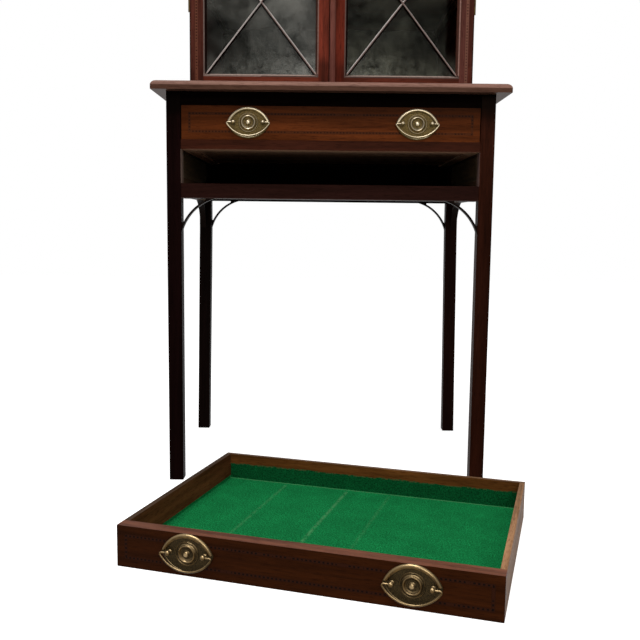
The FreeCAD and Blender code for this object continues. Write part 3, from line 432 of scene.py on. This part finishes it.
# The stand's top and the rounded part of its edge: painted lighter, as light from above
TOP_FACES = (("+Z", (128, 94, 82)), ("-Y", (128, 94, 82), *OVOLO))
# The bottom rail's underside is painted near black, as shade
BOTTOM_RAIL_FACES = (("-Z", (12, 5, 4)), ("-Y", (62, 46, 42), *RAIL_EDGE))
# The doors' outer edges are worn dark over this width, measured from a little past the edge
WORN_EDGE = 0.002
PAST_EDGE = 0.001
# The right stile is darker outside its band, over this width
OUTSIDE_BAND = 0.0095
LEFT_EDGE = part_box("left_hinge_stile")[0].x
RIGHT_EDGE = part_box("right_hinge_stile")[1].x
LEFT_STILE_FACES = (("-Y", (50, 26, 22), LEFT_EDGE - PAST_EDGE, LEFT_EDGE + WORN_EDGE, "X"),)
RIGHT_STILE_FACES = (
    ("-Y", (64, 28, 21), RIGHT_EDGE - OUTSIDE_BAND, RIGHT_EDGE, "X"),
    ("-Y", (42, 19, 15), RIGHT_EDGE - WORN_EDGE, RIGHT_EDGE + PAST_EDGE, "X"),
)

# Wood, by node: tone, way of the grain, contrast of the streaks, gloss, faces of another tone
WOODS = {
    "front_left_leg": ((14, 4, 4), "z", 0.4, 0.02, LEFT_LEG_FACES),
    "front_right_leg": ((41, 16, 8), "z", 0.4, 0.03, RIGHT_LEG_FACES),
    "rear_left_leg": ((14, 7, 6), "z", 0.4, 0.02, OUTSIDE_LEFT),
    "rear_right_leg": ((28, 11, 7), "z", 0.4, 0.03, OUTSIDE_RIGHT),
    "stand_top": ((84, 56, 44), "x", 0.2, 0.1, TOP_FACES),
    # Painted near black, as the shade under the stand's top
    "top_rail": ((8, 4, 3), "x", 0.4, 0.0),
    # Its underside is painted pale, as light from the floor below
    "mid_rail": ((56, 25, 15), "x", 0.3, 0.05, (("-Z", (196, 150, 122)),)),
    "bottom_rail": ((33, 15, 12), "x", 0.3, 0.03, BOTTOM_RAIL_FACES),
    "left_side_rail": ((40, 20, 14), "y", 0.3, 0.05, (("+X", (132, 114, 88)),)),
    "right_side_rail": ((40, 20, 14), "y", 0.3, 0.05, (("-X", (112, 96, 74)),)),
    # Its front is painted near black, as the shade inside the stand
    "back_rail": ((10, 5, 4), "x", 0.3, 0.01, (("+Y", (56, 27, 18)),)),
    # Its underside is painted pale, as light from the floor below
    "dust_board": ((80, 54, 40), "x", 0.25, 0.02, (("-Z", (186, 148, 120)),)),
    "bottom_board": ((50, 34, 26), "x", 0.25, 0.02),
    "drawer_runners": ((186, 148, 120), "y", 0.25, 0.02),
    "drawer_guides": ((80, 62, 46), "y", 0.25, 0.02),
    "drawer_stops": ((70, 48, 36), "x", 0.25, 0.02),
    "front_brackets": ((12, 7, 6), "x", 0.3, 0.04),
    "side_brackets": ((12, 7, 6), "y", 0.3, 0.04),
    "rear_brackets": ((12, 7, 6), "x", 0.3, 0.04),
    "case_left_side": ((60, 28, 20), "z", 0.3, 0.06),
    "case_right_side": ((60, 28, 20), "z", 0.3, 0.06),
    "case_bottom": ((56, 38, 28), "x", 0.3, 0.02),
    "case_top": ((56, 38, 28), "x", 0.3, 0.02),
    # Its front is painted dark grey, as the shade inside the case
    "case_back": ((40, 38, 34), "z", 0.3, 0.02, (("+Y", (104, 74, 52)),)),
    "shelves": ((62, 38, 28), "x", 0.3, 0.02),
    "shelf_bearers": ((56, 38, 28), "y", 0.3, 0.02),
    "cornice": ((76, 36, 26), "x", 0.3, 0.06),
    "left_hinge_stile": ((72, 35, 27), "z", 0.35, 0.05, LEFT_STILE_FACES),
    "left_meeting_stile": ((98, 38, 26), "z", 0.5, 0.06),
    "left_door_rails": ((92, 40, 27), "x", 0.4, 0.06),
    "right_hinge_stile": ((78, 42, 36), "z", 0.35, 0.05, RIGHT_STILE_FACES),
    "right_meeting_stile": ((106, 37, 23), "z", 0.55, 0.05),
    "right_door_rails": ((75, 31, 20), "x", 0.4, 0.06),
    "astragal_bead": ((98, 56, 48), "z", 0.3, 0.1),
}
for number, (node, (tone, axis, contrast, gloss, *faces)) in enumerate(WOODS.items()):
    own_faces = faces[0] if faces else ()
    height_shade = HEIGHT_SHADES.get(node, ())
    paint(node, wood("wood_" + node, tone, axis, contrast, gloss, number + 1.0, own_faces, height_shade))

# The drawers' woods: upper tone, lower tone, way of the grain, and the upward faces of each, painted
# lighter as light from above
DRAWER_WOODS = {
    "front": ((74, 34, 12), (54, 24, 7), "x", (84, 44, 24), (94, 56, 40)),
    "sides": ((84, 60, 40), (100, 60, 34), "y", (130, 98, 76), (138, 102, 72)),
    "back": ((84, 60, 40), (104, 62, 28), "x", (130, 98, 76), (98, 70, 46)),
    "bottom": ((100, 74, 52), (98, 72, 50), "x", (110, 84, 60), (110, 84, 60)),
}
DRAWER_CONTRAST = 0.4
DRAWER_GLOSS = 0.04
LOWER_SIDES_GLOSS = 0.01
# More faces of the lower drawer: its left side's top edge and its right side's outer face
LOWER_SIDES_FACES = (("+Z", (76, 57, 42), -0.01, 0.05, "X"), ("+X", (132, 100, 76), 0.5, 0.6, "X"))


def drawer_woods():
    for number, (part, looks) in enumerate(DRAWER_WOODS.items()):
        upper_tone, lower_tone, axis, upper_top, lower_top = looks
        # The upper drawer's front gets painted shade under the stand's top
        height_shade = UPPER_PAINTED_SHADE if part == "front" else ()
        upper = dict(seed=50.0 + number, faces=(("+Z", upper_top),), height_shade=height_shade, **UPPER)
        material = wood(f"wood_upper_{part}", upper_tone, axis, DRAWER_CONTRAST, DRAWER_GLOSS, **upper)
        paint(f"upper_drawer_{part}", material)
        faces = (("+Z", lower_top), *(LOWER_SIDES_FACES if part == "sides" else ()))
        gloss = LOWER_SIDES_GLOSS if part == "sides" else DRAWER_GLOSS
        lower = dict(seed=60.0 + number, faces=faces, **LOWER)
        material = wood(f"wood_lower_{part}", lower_tone, axis, DRAWER_CONTRAST, gloss, **lower)
        paint(f"lower_drawer_{part}", material)


drawer_woods()

# Lips and glazing bars: (light, tone) from faces that look down to faces that look up, painted shade
# below and painted highlight above
GLAZING_TONES = (
    (0.3, (18, 8, 6)),
    (0.46, (58, 36, 30)),
    (0.505, (120, 99, 92)),
    (0.58, (200, 192, 187)),
)
LIP_TINT = (1.0, 0.8, 0.72)


def glazing(side, left_highlight, brightness):
    """The lip and the bars of one door, with a painted highlight where they look up and a little
    to the left, and painted shade where they look down.

    How much paler the painted highlight is on the left half is given after the side, and
    brightness is that of the left, right and bottom lip, painted lighter or darker as light or shade
    falls on each; the lips are also browner than the bars.
    """
    material, tree, shader = new_material(f"wood_{side}_glazing")
    low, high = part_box(f"{side}_glazing")
    facing = split(coordinates(tree, "Normal"))
    spot = split(place(tree))
    # Painted highlight and shade: faces that look up, and a little to the left, are paler, and the left
    # half more so
    upward = facing["Z"] - facing["X"] * 0.12 - abs(facing["X"]) * 0.2
    light = upward * 0.5 + 0.5 + (spot["X"] < (low.x + high.x) / 2) * left_highlight
    bars = ramp(light, *((at, linear(*tone)) for at, tone in GLAZING_TONES))
    colour = bars
    # The lips, painted lighter or darker as light or shade falls on each
    lips = (spot["X"] < low.x + LIP, spot["X"] > high.x - LIP, spot["Z"] < low.z + LIP)
    for on_lip, bright in zip(lips, brightness):
        tint = [channel * bright for channel in LIP_TINT]
        colour = mix(on_lip, colour, times(bars, (*tint, 1.0)))
    fine = noise(place(tree), scale=260.0, detail=3.0, roughness=0.6)
    wear = ramp(fine, (0.35, grey(0.8)), (0.65, grey(1.15)))
    set_surface(shader, times(colour, wear), roughness=0.4, gloss=0.1)
    return material


paint("left_glazing", glazing("left", left_highlight=0.04, brightness=(0.35, 1.05, 0.52)))
paint("right_glazing", glazing("right", left_highlight=-0.008, brightness=(0.58, 1.4, 0.5)))

# Tones of the brass: two of a plate's hollows, two of the rest, and the pale one of the painted
# highlight
BRIGHT = ((46, 36, 16), (112, 93, 53), (66, 54, 30), (118, 98, 58), (216, 200, 170))
BROWN = ((28, 21, 9), (70, 56, 31), (52, 38, 18), (98, 75, 40), (162, 138, 100))
# The upward part of the surface direction where the painted highlight begins, and where it is full, for
# the lower handles and the hinges and, wider, for the upper handles
UPWARD_HIGHLIGHT = (0.05, 0.7)
WIDER_UPWARD_HIGHLIGHT = (-0.3, 0.4)
# The shares of a plate's relief where its raised parts and its knob begin, and where they are full
RAISED_PARTS = (0.33, 0.42)
KNOB = (0.8, 0.96)
# How strong the painted highlight on the knob is
KNOB_HIGHLIGHT = 0.8


def brass(name, plate=False, worn=UPWARD_HIGHLIGHT, tones=BRIGHT, origin=(0, 0, 0), turn=0.0):
    """Old brass: brown in the hollows, with a pale painted highlight where it looks up.

    A handle plate also has a stippled field between its raised parts, which are the ones that
    the span of the upward painted highlight is about, and a painted highlight on its knob.
    """
    material, tree, shader = new_material(name)
    local = place(tree, origin, turn)
    patina = noise(local, scale=130.0, detail=5.0, roughness=0.65)
    fine = noise(local, scale=1100.0, detail=2.0, roughness=0.5)
    upward = split(coordinates(tree, "Normal"))["Z"]
    low, middle, dark, light, pale = (linear(*tone) for tone in tones)
    colour = ramp(patina, (0.36, dark), (0.64, light))
    # A painted highlight where the brass looks up
    highlight = between(upward, *worn)
    roughness = 0.3
    if plate:
        rise = split(local)["Y"] / -PLATE_RELIEF
        raised = between(rise, *RAISED_PARTS)
        knob = between(rise, *KNOB)
        # The painted highlight on the raised parts that look up, and on the knob
        highlight = (highlight * raised).at_least(knob * KNOB_HIGHLIGHT).at_least(between(upward, *UPWARD_HIGHLIGHT))
        raised = raised.at_least(highlight)
        field = ramp(fine, (0.4, low), (0.62, middle))
        colour = mix(raised, field, mix(highlight, colour, pale))
        roughness = 0.55 - raised * 0.27
    else:
        colour = mix(highlight, colour, pale)
    set_surface(shader, colour, roughness)
    feed(shader.inputs["Metallic"], 0.9)
    bump(shader, fine, strength=0.3, distance=0.0003)
    return material


def drawer_handles(drawer, look):
    plates = brass(f"brass_{drawer}_plates", plate=True, **look)
    paint(f"{drawer}_drawer_handle_plates", plates)
    for piece in ("handle_posts", "left_bail", "right_bail"):
        paint(f"{drawer}_drawer_{piece}", brass(f"brass_{drawer}_{piece}", **look))


drawer_handles("upper", dict(worn=WIDER_UPWARD_HIGHLIGHT, tones=BRIGHT, **UPPER))
drawer_handles("lower", dict(worn=UPWARD_HIGHLIGHT, tones=BROWN, **LOWER))
for node in ("case_hinge_leaves", "left_hinge_leaves", "right_hinge_leaves", "lock_case", "lock_bolt"):
    paint(node, brass("brass_" + node))

# Glass. The haze reaches this high above a pane's lower edge, and thins out by this power
HAZE_HEIGHT = 0.055
HAZE_POWER = 1.6
# How much the haze, the clouds, blots and specks of dust and the even dust cover, and the most
# that they cover together
HAZE = 0.42
CLOUDS = 0.5
BLOTS = 0.3
SPECKS = 0.14
EVEN_DUST = 0.07
DENSEST = 0.6
# The largest share of dust or haze that a pane can be given
MOST = 3.0


def share(across, stops):
    """A share of dust or haze that changes across a pane, by (place, share) pairs."""
    return ramp(across, *((at, grey(amount / MOST)) for at, amount in stops)) * MOST


def glass(side, veil, thin, thick, dusty, hazy):
    """Old glass: dusty all over, with haze along the bottom.

    Veil is how much of both there is, thin and thick are their colours. Dusty and hazy are
    their shares, as pairs of a place from the left edge, 0, to the right one, 1, and a share.
    """
    material, tree, shader = new_material(f"glass_{side}")
    pane_low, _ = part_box(f"{side}_glass")
    across = split(coordinates(tree, "Generated"))["X"]
    local = place(tree)
    cloud = noise(local, scale=9.0, detail=6.0, roughness=0.6, distortion=0.6)
    blots = noise(local, scale=75.0, detail=6.0, roughness=0.75, distortion=0.3)
    specks = noise(local, scale=420.0, detail=3.0, roughness=0.6)
    lowness = (1.0 - (split(local)["Z"] - pane_low.z) / HAZE_HEIGHT).at_least(0.0)
    haze = lowness**HAZE_POWER * ((blots - 0.36) * 3.0).at_least(0.0) * share(across, hazy)
    dust = (cloud - 0.36) * (CLOUDS * veil) + (blots - 0.5) * BLOTS + (specks - 0.5) * SPECKS
    dust = (dust + EVEN_DUST * veil) * share(across, dusty)
    cover = dust + haze * (HAZE * veil)
    colour = ramp(cloud, (0.35, linear(*thin)), (0.65, linear(*thick)))
    set_surface(shader, colour, roughness=0.2, gloss=0.2)
    feed(shader.inputs["Alpha"], cover.at_most(DENSEST).at_least(0.0))
    return material


left_pane = glass(
    "left",
    veil=1.1,
    thin=(110, 112, 104),
    thick=(160, 158, 148),
    dusty=((0.0, 0.35), (0.28, 0.5), (0.38, 0.55), (0.41, 1.05), (0.75, 1.15), (0.9, 0.8), (1.0, 0.5)),
    hazy=((0.0, 0.4), (0.5, 0.6), (0.75, 1.5), (0.9, 3.0), (1.0, 2.0)),
)
right_pane = glass(
    "right",
    veil=0.6,
    thin=(88, 90, 74),
    thick=(122, 122, 100),
    dusty=((0.0, 0.7), (0.35, 0.7), (0.6, 0.5), (0.87, 0.35), (0.9, 0.0), (1.0, 0.0)),
    hazy=((0.0, 2.8), (0.3, 2.8), (0.5, 1.2), (0.7, 0.4), (0.87, 0.6), (1.0, 1.8)),
)
paint("left_glass", left_pane)
paint("right_glass", right_pane)


# Pieces that the scene adds
def new_piece(name, points, faces):
    mesh = bpy.data.meshes.new(name)
    mesh.from_pydata(points, [], faces)
    piece = bpy.data.objects.new(name, mesh)
    bpy.context.scene.collection.objects.link(piece)
    return piece


def into_row(piece, body, origin, turn):
    """Moves a piece from its drawer's coordinates into the row frame, in its mesh."""
    piece.data.transform(Matrix.Translation(Vector(origin)) @ Matrix.Rotation(turn, 4, "Z"))
    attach(piece, body)


# Inlaid bands: thin strips that stand this far proud of the wood
PROUD = 0.00005
BAND = 0.005
BAND_INSET = 0.015
DOT_PITCH = 0.0062
STILE_BAND = 0.0066
STILE_BAND_INSET = 0.013
STILE_DOT_PITCH = 0.0056


def strip_mesh(name, quads):
    """Quads given as four corners and the lengths where each one starts and ends."""
    points, faces, lengths = [], [], []
    for corners, start, end in quads:
        first = len(points)
        points += [tuple(corner) for corner in corners]
        faces.append((first, first + 1, first + 2, first + 3))
        lengths += [(start[0], 0.0), (end[0], 0.0), (end[1], 1.0), (start[1], 1.0)]
    piece = new_piece(name, points, faces)
    layer = piece.data.uv_layers.new(name="along")
    for loop, length in zip(layer.data, lengths):
        loop.uv = length
    return piece


def ring_quads(width, height, inset, band, y):
    """A rectangular band of that width inside a front, mitred, in the drawer's coordinates."""

    def rectangle(edge):
        return [(edge, edge), (width - edge, edge), (width - edge, height - edge), (edge, height - edge)]

    outer, inner = rectangle(inset - band / 2), rectangle(inset + band / 2)
    quads, run = [], 0.0
    for k in range(4):
        following = (k + 1) % 4
        length = math.dist(outer[k], outer[following])
        around = (outer[k], outer[following], inner[following], inner[k])
        corners = [Vector((x, y, z)) for x, z in around]
        quads.append((corners, (run, run + band), (run + length, run + length - band)))
        run += length
    return quads


def band_material(name, ground, dot, edge, pitch, height_shade=()):
    """A dotted band between two lines, with some of its dots worn away."""
    material, tree, shader = new_material(name)
    strip = split(result(tree, "UVMap", uv_map="along"))
    along = abs((strip["X"] / pitch).maths("FRACT") - 0.5)
    across = abs(strip["Y"] - 0.5)
    kept = noise(place(tree), scale=55.0, detail=3.0, roughness=0.6) > 0.4
    in_dot = (along < 0.24) * (across < 0.22) * kept
    colour = mix(in_dot, linear(*ground), linear(*dot))
    colour = mix(across > 0.38, colour, linear(*edge))
    if height_shade:
        colour = shaded_by_height(colour, height_shade)
    set_surface(shader, colour, roughness=0.45, gloss=0.03)
    return material


def drawer_band(drawer, at, ground, dot, edge, height_shade=()):
    """The band round a drawer's front."""
    quads = ring_quads(DRAWER_WIDTH, DRAWER_HEIGHT, BAND_INSET, BAND, -PROUD)
    piece = strip_mesh(f"{drawer}_drawer_band", quads)
    piece.data.materials.append(band_material(f"band_{drawer}", ground, dot, edge, DOT_PITCH, height_shade))
    into_row(piece, f"{drawer}_drawer", **at)


def stile_band(side, middle, ground, dot, edge):
    """The band down a door's hinge stile."""
    low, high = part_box(f"{side}_hinge_stile")
    y = low.y - PROUD
    left, right = middle - STILE_BAND / 2, middle + STILE_BAND / 2
    around = ((right, low.z), (right, high.z), (left, high.z), (left, low.z))
    corners = [Vector((x, y, z)) for x, z in around]
    length = high.z - low.z
    piece = strip_mesh(f"{side}_stile_band", [(corners, (0.0, 0.0), (length, length))])
    material = band_material(f"band_{side}_stile", ground, dot, edge, STILE_DOT_PITCH)
    piece.data.materials.append(material)
    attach(piece, f"{side}_door")


# The upper band gets the same painted shade as the upper drawer's front
drawer_band("upper", UPPER, (70, 34, 14), (34, 16, 8), (60, 29, 12), UPPER_PAINTED_SHADE)
drawer_band("lower", LOWER, (50, 23, 11), (14, 6, 4), (38, 17, 8))
stile_band("left", LEFT_EDGE + STILE_BAND_INSET, (98, 56, 41), (56, 29, 21), (64, 32, 24))
stile_band("right", RIGHT_EDGE - STILE_BAND_INSET, (112, 72, 58), (76, 45, 36), (84, 48, 39))

# The baize lining in the lower drawer's coordinates, its gaps to the walls and to the front, and
# how far it turns up the walls
WALL_GAP = 0.0008
FRONT_GAP = 0.0005
CLOTH_LEFT = DRAWER_SIDE + WALL_GAP
CLOTH_RIGHT = DRAWER_WIDTH - DRAWER_SIDE - WALL_GAP
CLOTH_FRONT = DRAWER_FRONT + FRONT_GAP
CLOTH_BACK = DRAWER_DEPTH - DRAWER_BACK - WALL_GAP
CLOTH_WIDTH = CLOTH_RIGHT - CLOTH_LEFT
CLOTH_DEPTH = CLOTH_BACK - CLOTH_FRONT
SIDE_RISE = 0.005
BACK_RISE = 0.0295
COLUMN_STEPS = 140
ROW_STEPS = 96
WALL_STEPS = 8
# Its seams: place across the drawer, how far each stands up, how pale it is worn
SEAMS = ((0.125, 0.0004, 0.19), (0.244, 0.0005, 0.34), (0.324, 0.0003, 0.12))
# The seams lean sideways by this much of the depth, and have their places at that depth
SEAM_LEAN = 0.012
SEAM_DEPTH = 0.2
SEAM_RIDGE = 0.0022
SEAM_WEAR = 0.0048
RIPPLE = 0.0002
# The limits of the cut edge, and the most that it strays from one column to the next
STRAY_LOW = -0.0016
STRAY_HIGH = 0.0012
STRAY_STEP = 0.0006
# How far before the back wall the wear of the seams stops and a pale fold lies, half its width
SEAM_STOP = 0.0125
FOLD = 0.0017
FOLD_HALF = 0.0014
# How far up the back wall the dark cloth and the cut edge begin
DARK_START = 0.0007
CUT_START = 0.0273
# Spots of pale fluff: place across, depth, radius
FLUFF = ((0.284, 0.046, 0.006), (0.268, 0.034, 0.004), (0.520, 0.030, 0.006))


def ragged_edge(count):
    """How far the cut edge strays up or down at each column."""
    rng = random.Random(4)
    strays = [0.0]
    for _ in range(count):
        stray = strays[-1] * 0.8 + rng.uniform(-STRAY_STEP, STRAY_STEP)
        strays.append(max(STRAY_LOW, min(STRAY_HIGH, stray)))
    return strays


def cloth_height(across, deep, side_up, back_up, stray):
    """The cloth's height at a point that is so far up a side wall or the back wall."""
    height = BAIZE_TOP
    if side_up == 0.0 and back_up == 0.0:
        for seam, rise, _ in SEAMS:
            off = across - seam - SEAM_LEAN * (deep - SEAM_DEPTH)
            height += rise * math.exp(-((off / SEAM_RIDGE) ** 2))
        height += RIPPLE * math.sin(across * 90 + 3 * math.sin(deep * 30)) * math.sin(deep * 70)
    height += max(back_up, side_up)
    if back_up > BACK_RISE * 0.9:
        height += stray
    if side_up > 0.0 and back_up > 0.0:
        height = max(height, BAIZE_TOP + back_up)
    return height


def cloth_mesh():
    """A grid over the drawer's floor, up the back wall and a little up the sides."""
    columns = [(CLOTH_LEFT, SIDE_RISE), (CLOTH_LEFT, SIDE_RISE / 2)]
    columns += [(CLOTH_LEFT + CLOTH_WIDTH * k / COLUMN_STEPS, 0.0) for k in range(COLUMN_STEPS + 1)]
    columns += [(CLOTH_RIGHT, SIDE_RISE / 2), (CLOTH_RIGHT, SIDE_RISE)]
    rows = [(CLOTH_FRONT + CLOTH_DEPTH * k / ROW_STEPS, 0.0) for k in range(ROW_STEPS + 1)]
    rows += [(CLOTH_BACK, BACK_RISE * k / WALL_STEPS) for k in range(1, WALL_STEPS + 1)]
    strays = ragged_edge(len(columns))
    points, flat = [], []
    for deep, back_up in rows:
        for (across, side_up), stray in zip(columns, strays):
            points.append((across, deep, cloth_height(across, deep, side_up, back_up, stray)))
            flat.append((across, deep + back_up))
    count = len(columns)
    faces = []
    for row in range(len(rows) - 1):
        for column in range(count - 1):
            first = row * count + column
            faces.append((first, first + 1, first + count + 1, first + count))
    piece = new_piece("baize_cloth", points, faces)
    layer = piece.data.uv_layers.new(name="cloth")
    for loop, corner in zip(layer.data, piece.data.loops):
        loop.uv = flat[corner.vertex_index]
    return piece


def baize_material():
    """Green wool: mottled all over, and worn, torn and dirty in places."""
    material, tree, shader = new_material("baize")
    local = place(tree, **LOWER)
    cloth = split(result(tree, "UVMap", uv_map="cloth"))
    across, deep = cloth["X"], cloth["Y"]
    mottle = noise(local, scale=420.0, detail=4.0, roughness=0.8)
    patches = noise(local, scale=24.0, detail=3.0, roughness=0.6)
    broken = noise(local, scale=130.0, detail=5.0, roughness=0.8)
    fluff = noise(local, scale=260.0, detail=2.0, roughness=0.6)
    tone = ramp(mottle, (0.38, linear(0, 64, 28)), (0.64, linear(26, 142, 78)))
    tone = times(tone, ramp(patches, (0.35, (0.86, 0.88, 0.88, 1.0)), (0.65, (1.1, 1.08, 1.08, 1.0))))
    # The seams are worn pale in short stretches, up to a little before the back wall
    straight = across - (deep - SEAM_DEPTH) * SEAM_LEAN
    stretches = ((broken - 0.4) * 6.0).at_least(0.0)
    on_floor = deep < CLOTH_BACK - SEAM_STOP
    for seam, _, strength in SEAMS:
        line = (1.0 - abs(straight - seam) / SEAM_WEAR).at_least(0.0) * on_floor
        tone = mix(line * (stretches * strength).at_most(strength), tone, linear(112, 158, 112))
    for spot_across, spot_deep, radius in FLUFF:
        aside, ahead = across - spot_across, deep - spot_deep
        inside = (aside * aside + ahead * ahead) < radius * radius
        tone = mix(inside * (fluff > 0.56) * 0.8, tone, linear(150, 180, 140))
    # The cloth on the back wall is darker, and its ragged cut edge browner in places
    wall = deep > CLOTH_BACK + DARK_START
    tone = mix(wall * 0.55, tone, linear(0, 26, 12))
    edge = (deep > CLOTH_BACK + CUT_START) * (broken > 0.5)
    tone = mix(edge * 0.7, tone, linear(92, 80, 48))
    # A pale fold just before the cloth turns up the back wall
    fold = (abs(deep - (CLOTH_BACK - FOLD)) < FOLD_HALF) * (broken > 0.42)
    tone = mix(fold * 0.32, tone, linear(110, 150, 110))
    set_surface(shader, tone, roughness=1.0, gloss=0.05)
    bump(shader, mottle, strength=0.5, distance=0.0006)
    return material


def baize():
    piece = cloth_mesh()
    piece.data.materials.append(baize_material())
    into_row(piece, "lower_drawer", **LOWER)
    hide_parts("baize_lining")


baize()

# Floor, background and lights
FLOOR_HALF = 6.0
FLOOR_DROP = 0.0004
MIRRORED = 0.6


def shown(tree):
    """1 for what the camera sees, also through glass, and less for what gloss mirrors."""
    path = add(tree, "LightPath")
    kinds = ("Is Camera Ray", "Is Transmission Ray", "Is Glossy Ray")
    camera, transmission, glossy = (Value(tree, path.outputs[kind]) for kind in kinds)
    return camera.at_least(transmission).at_least(glossy * MIRRORED)


def stage_floor():
    """A floor that is seen white, with the object's shadow, and lights the object as a grey one."""
    half = FLOOR_HALF
    corners = [(-half, -half, 0), (half, -half, 0), (half, half, 0), (-half, half, 0)]
    piece = new_piece("floor", corners, [(0, 1, 2, 3)])
    piece.location = (0, 0, -FLOOR_DROP)
    material, tree, _ = new_material("floor")
    tree.nodes.clear()
    surface = result(tree, "BsdfDiffuse", Color=grey(0.8))
    glow = result(tree, "Emission", Color=WHITE, Strength=0.8)
    seen = result(tree, "AddShader", surface, glow)
    bounce = result(tree, "BsdfDiffuse", Color=grey(0.42))
    add(tree, "OutputMaterial", result(tree, "MixShader", shown(tree), bounce, seen))
    piece.data.materials.append(material)


def world():
    """A white background, which lights the object less than it shows."""
    settings = bpy.data.worlds.new("world")
    bpy.context.scene.world = settings
    settings.use_nodes = True
    tree = settings.node_tree
    tree.nodes.clear()
    ambient = result(tree, "Background", Color=WHITE, Strength=0.32)
    backdrop = result(tree, "Background", Color=WHITE, Strength=1.0)
    add(tree, "OutputWorld", result(tree, "MixShader", shown(tree), ambient, backdrop))


def lamp(name, at, target, size, power):
    data = bpy.data.lights.new(name, "AREA")
    data.shape = "SQUARE"
    data.size = size
    data.energy = power
    piece = bpy.data.objects.new(name, data)
    bpy.context.scene.collection.objects.link(piece)
    piece.location = at
    piece.rotation_euler = (Vector(target) - Vector(at)).to_track_quat("-Z", "Y").to_euler()


stage_floor()
world()
lamp("overhead", at=(-0.5, -0.6, 3.2), target=(0.0, -0.1, 0.3), size=1.8, power=70.0)
lamp("front", at=(0.4, -3.2, 1.9), target=(0.0, 0.0, 0.5), size=1.6, power=36.0)
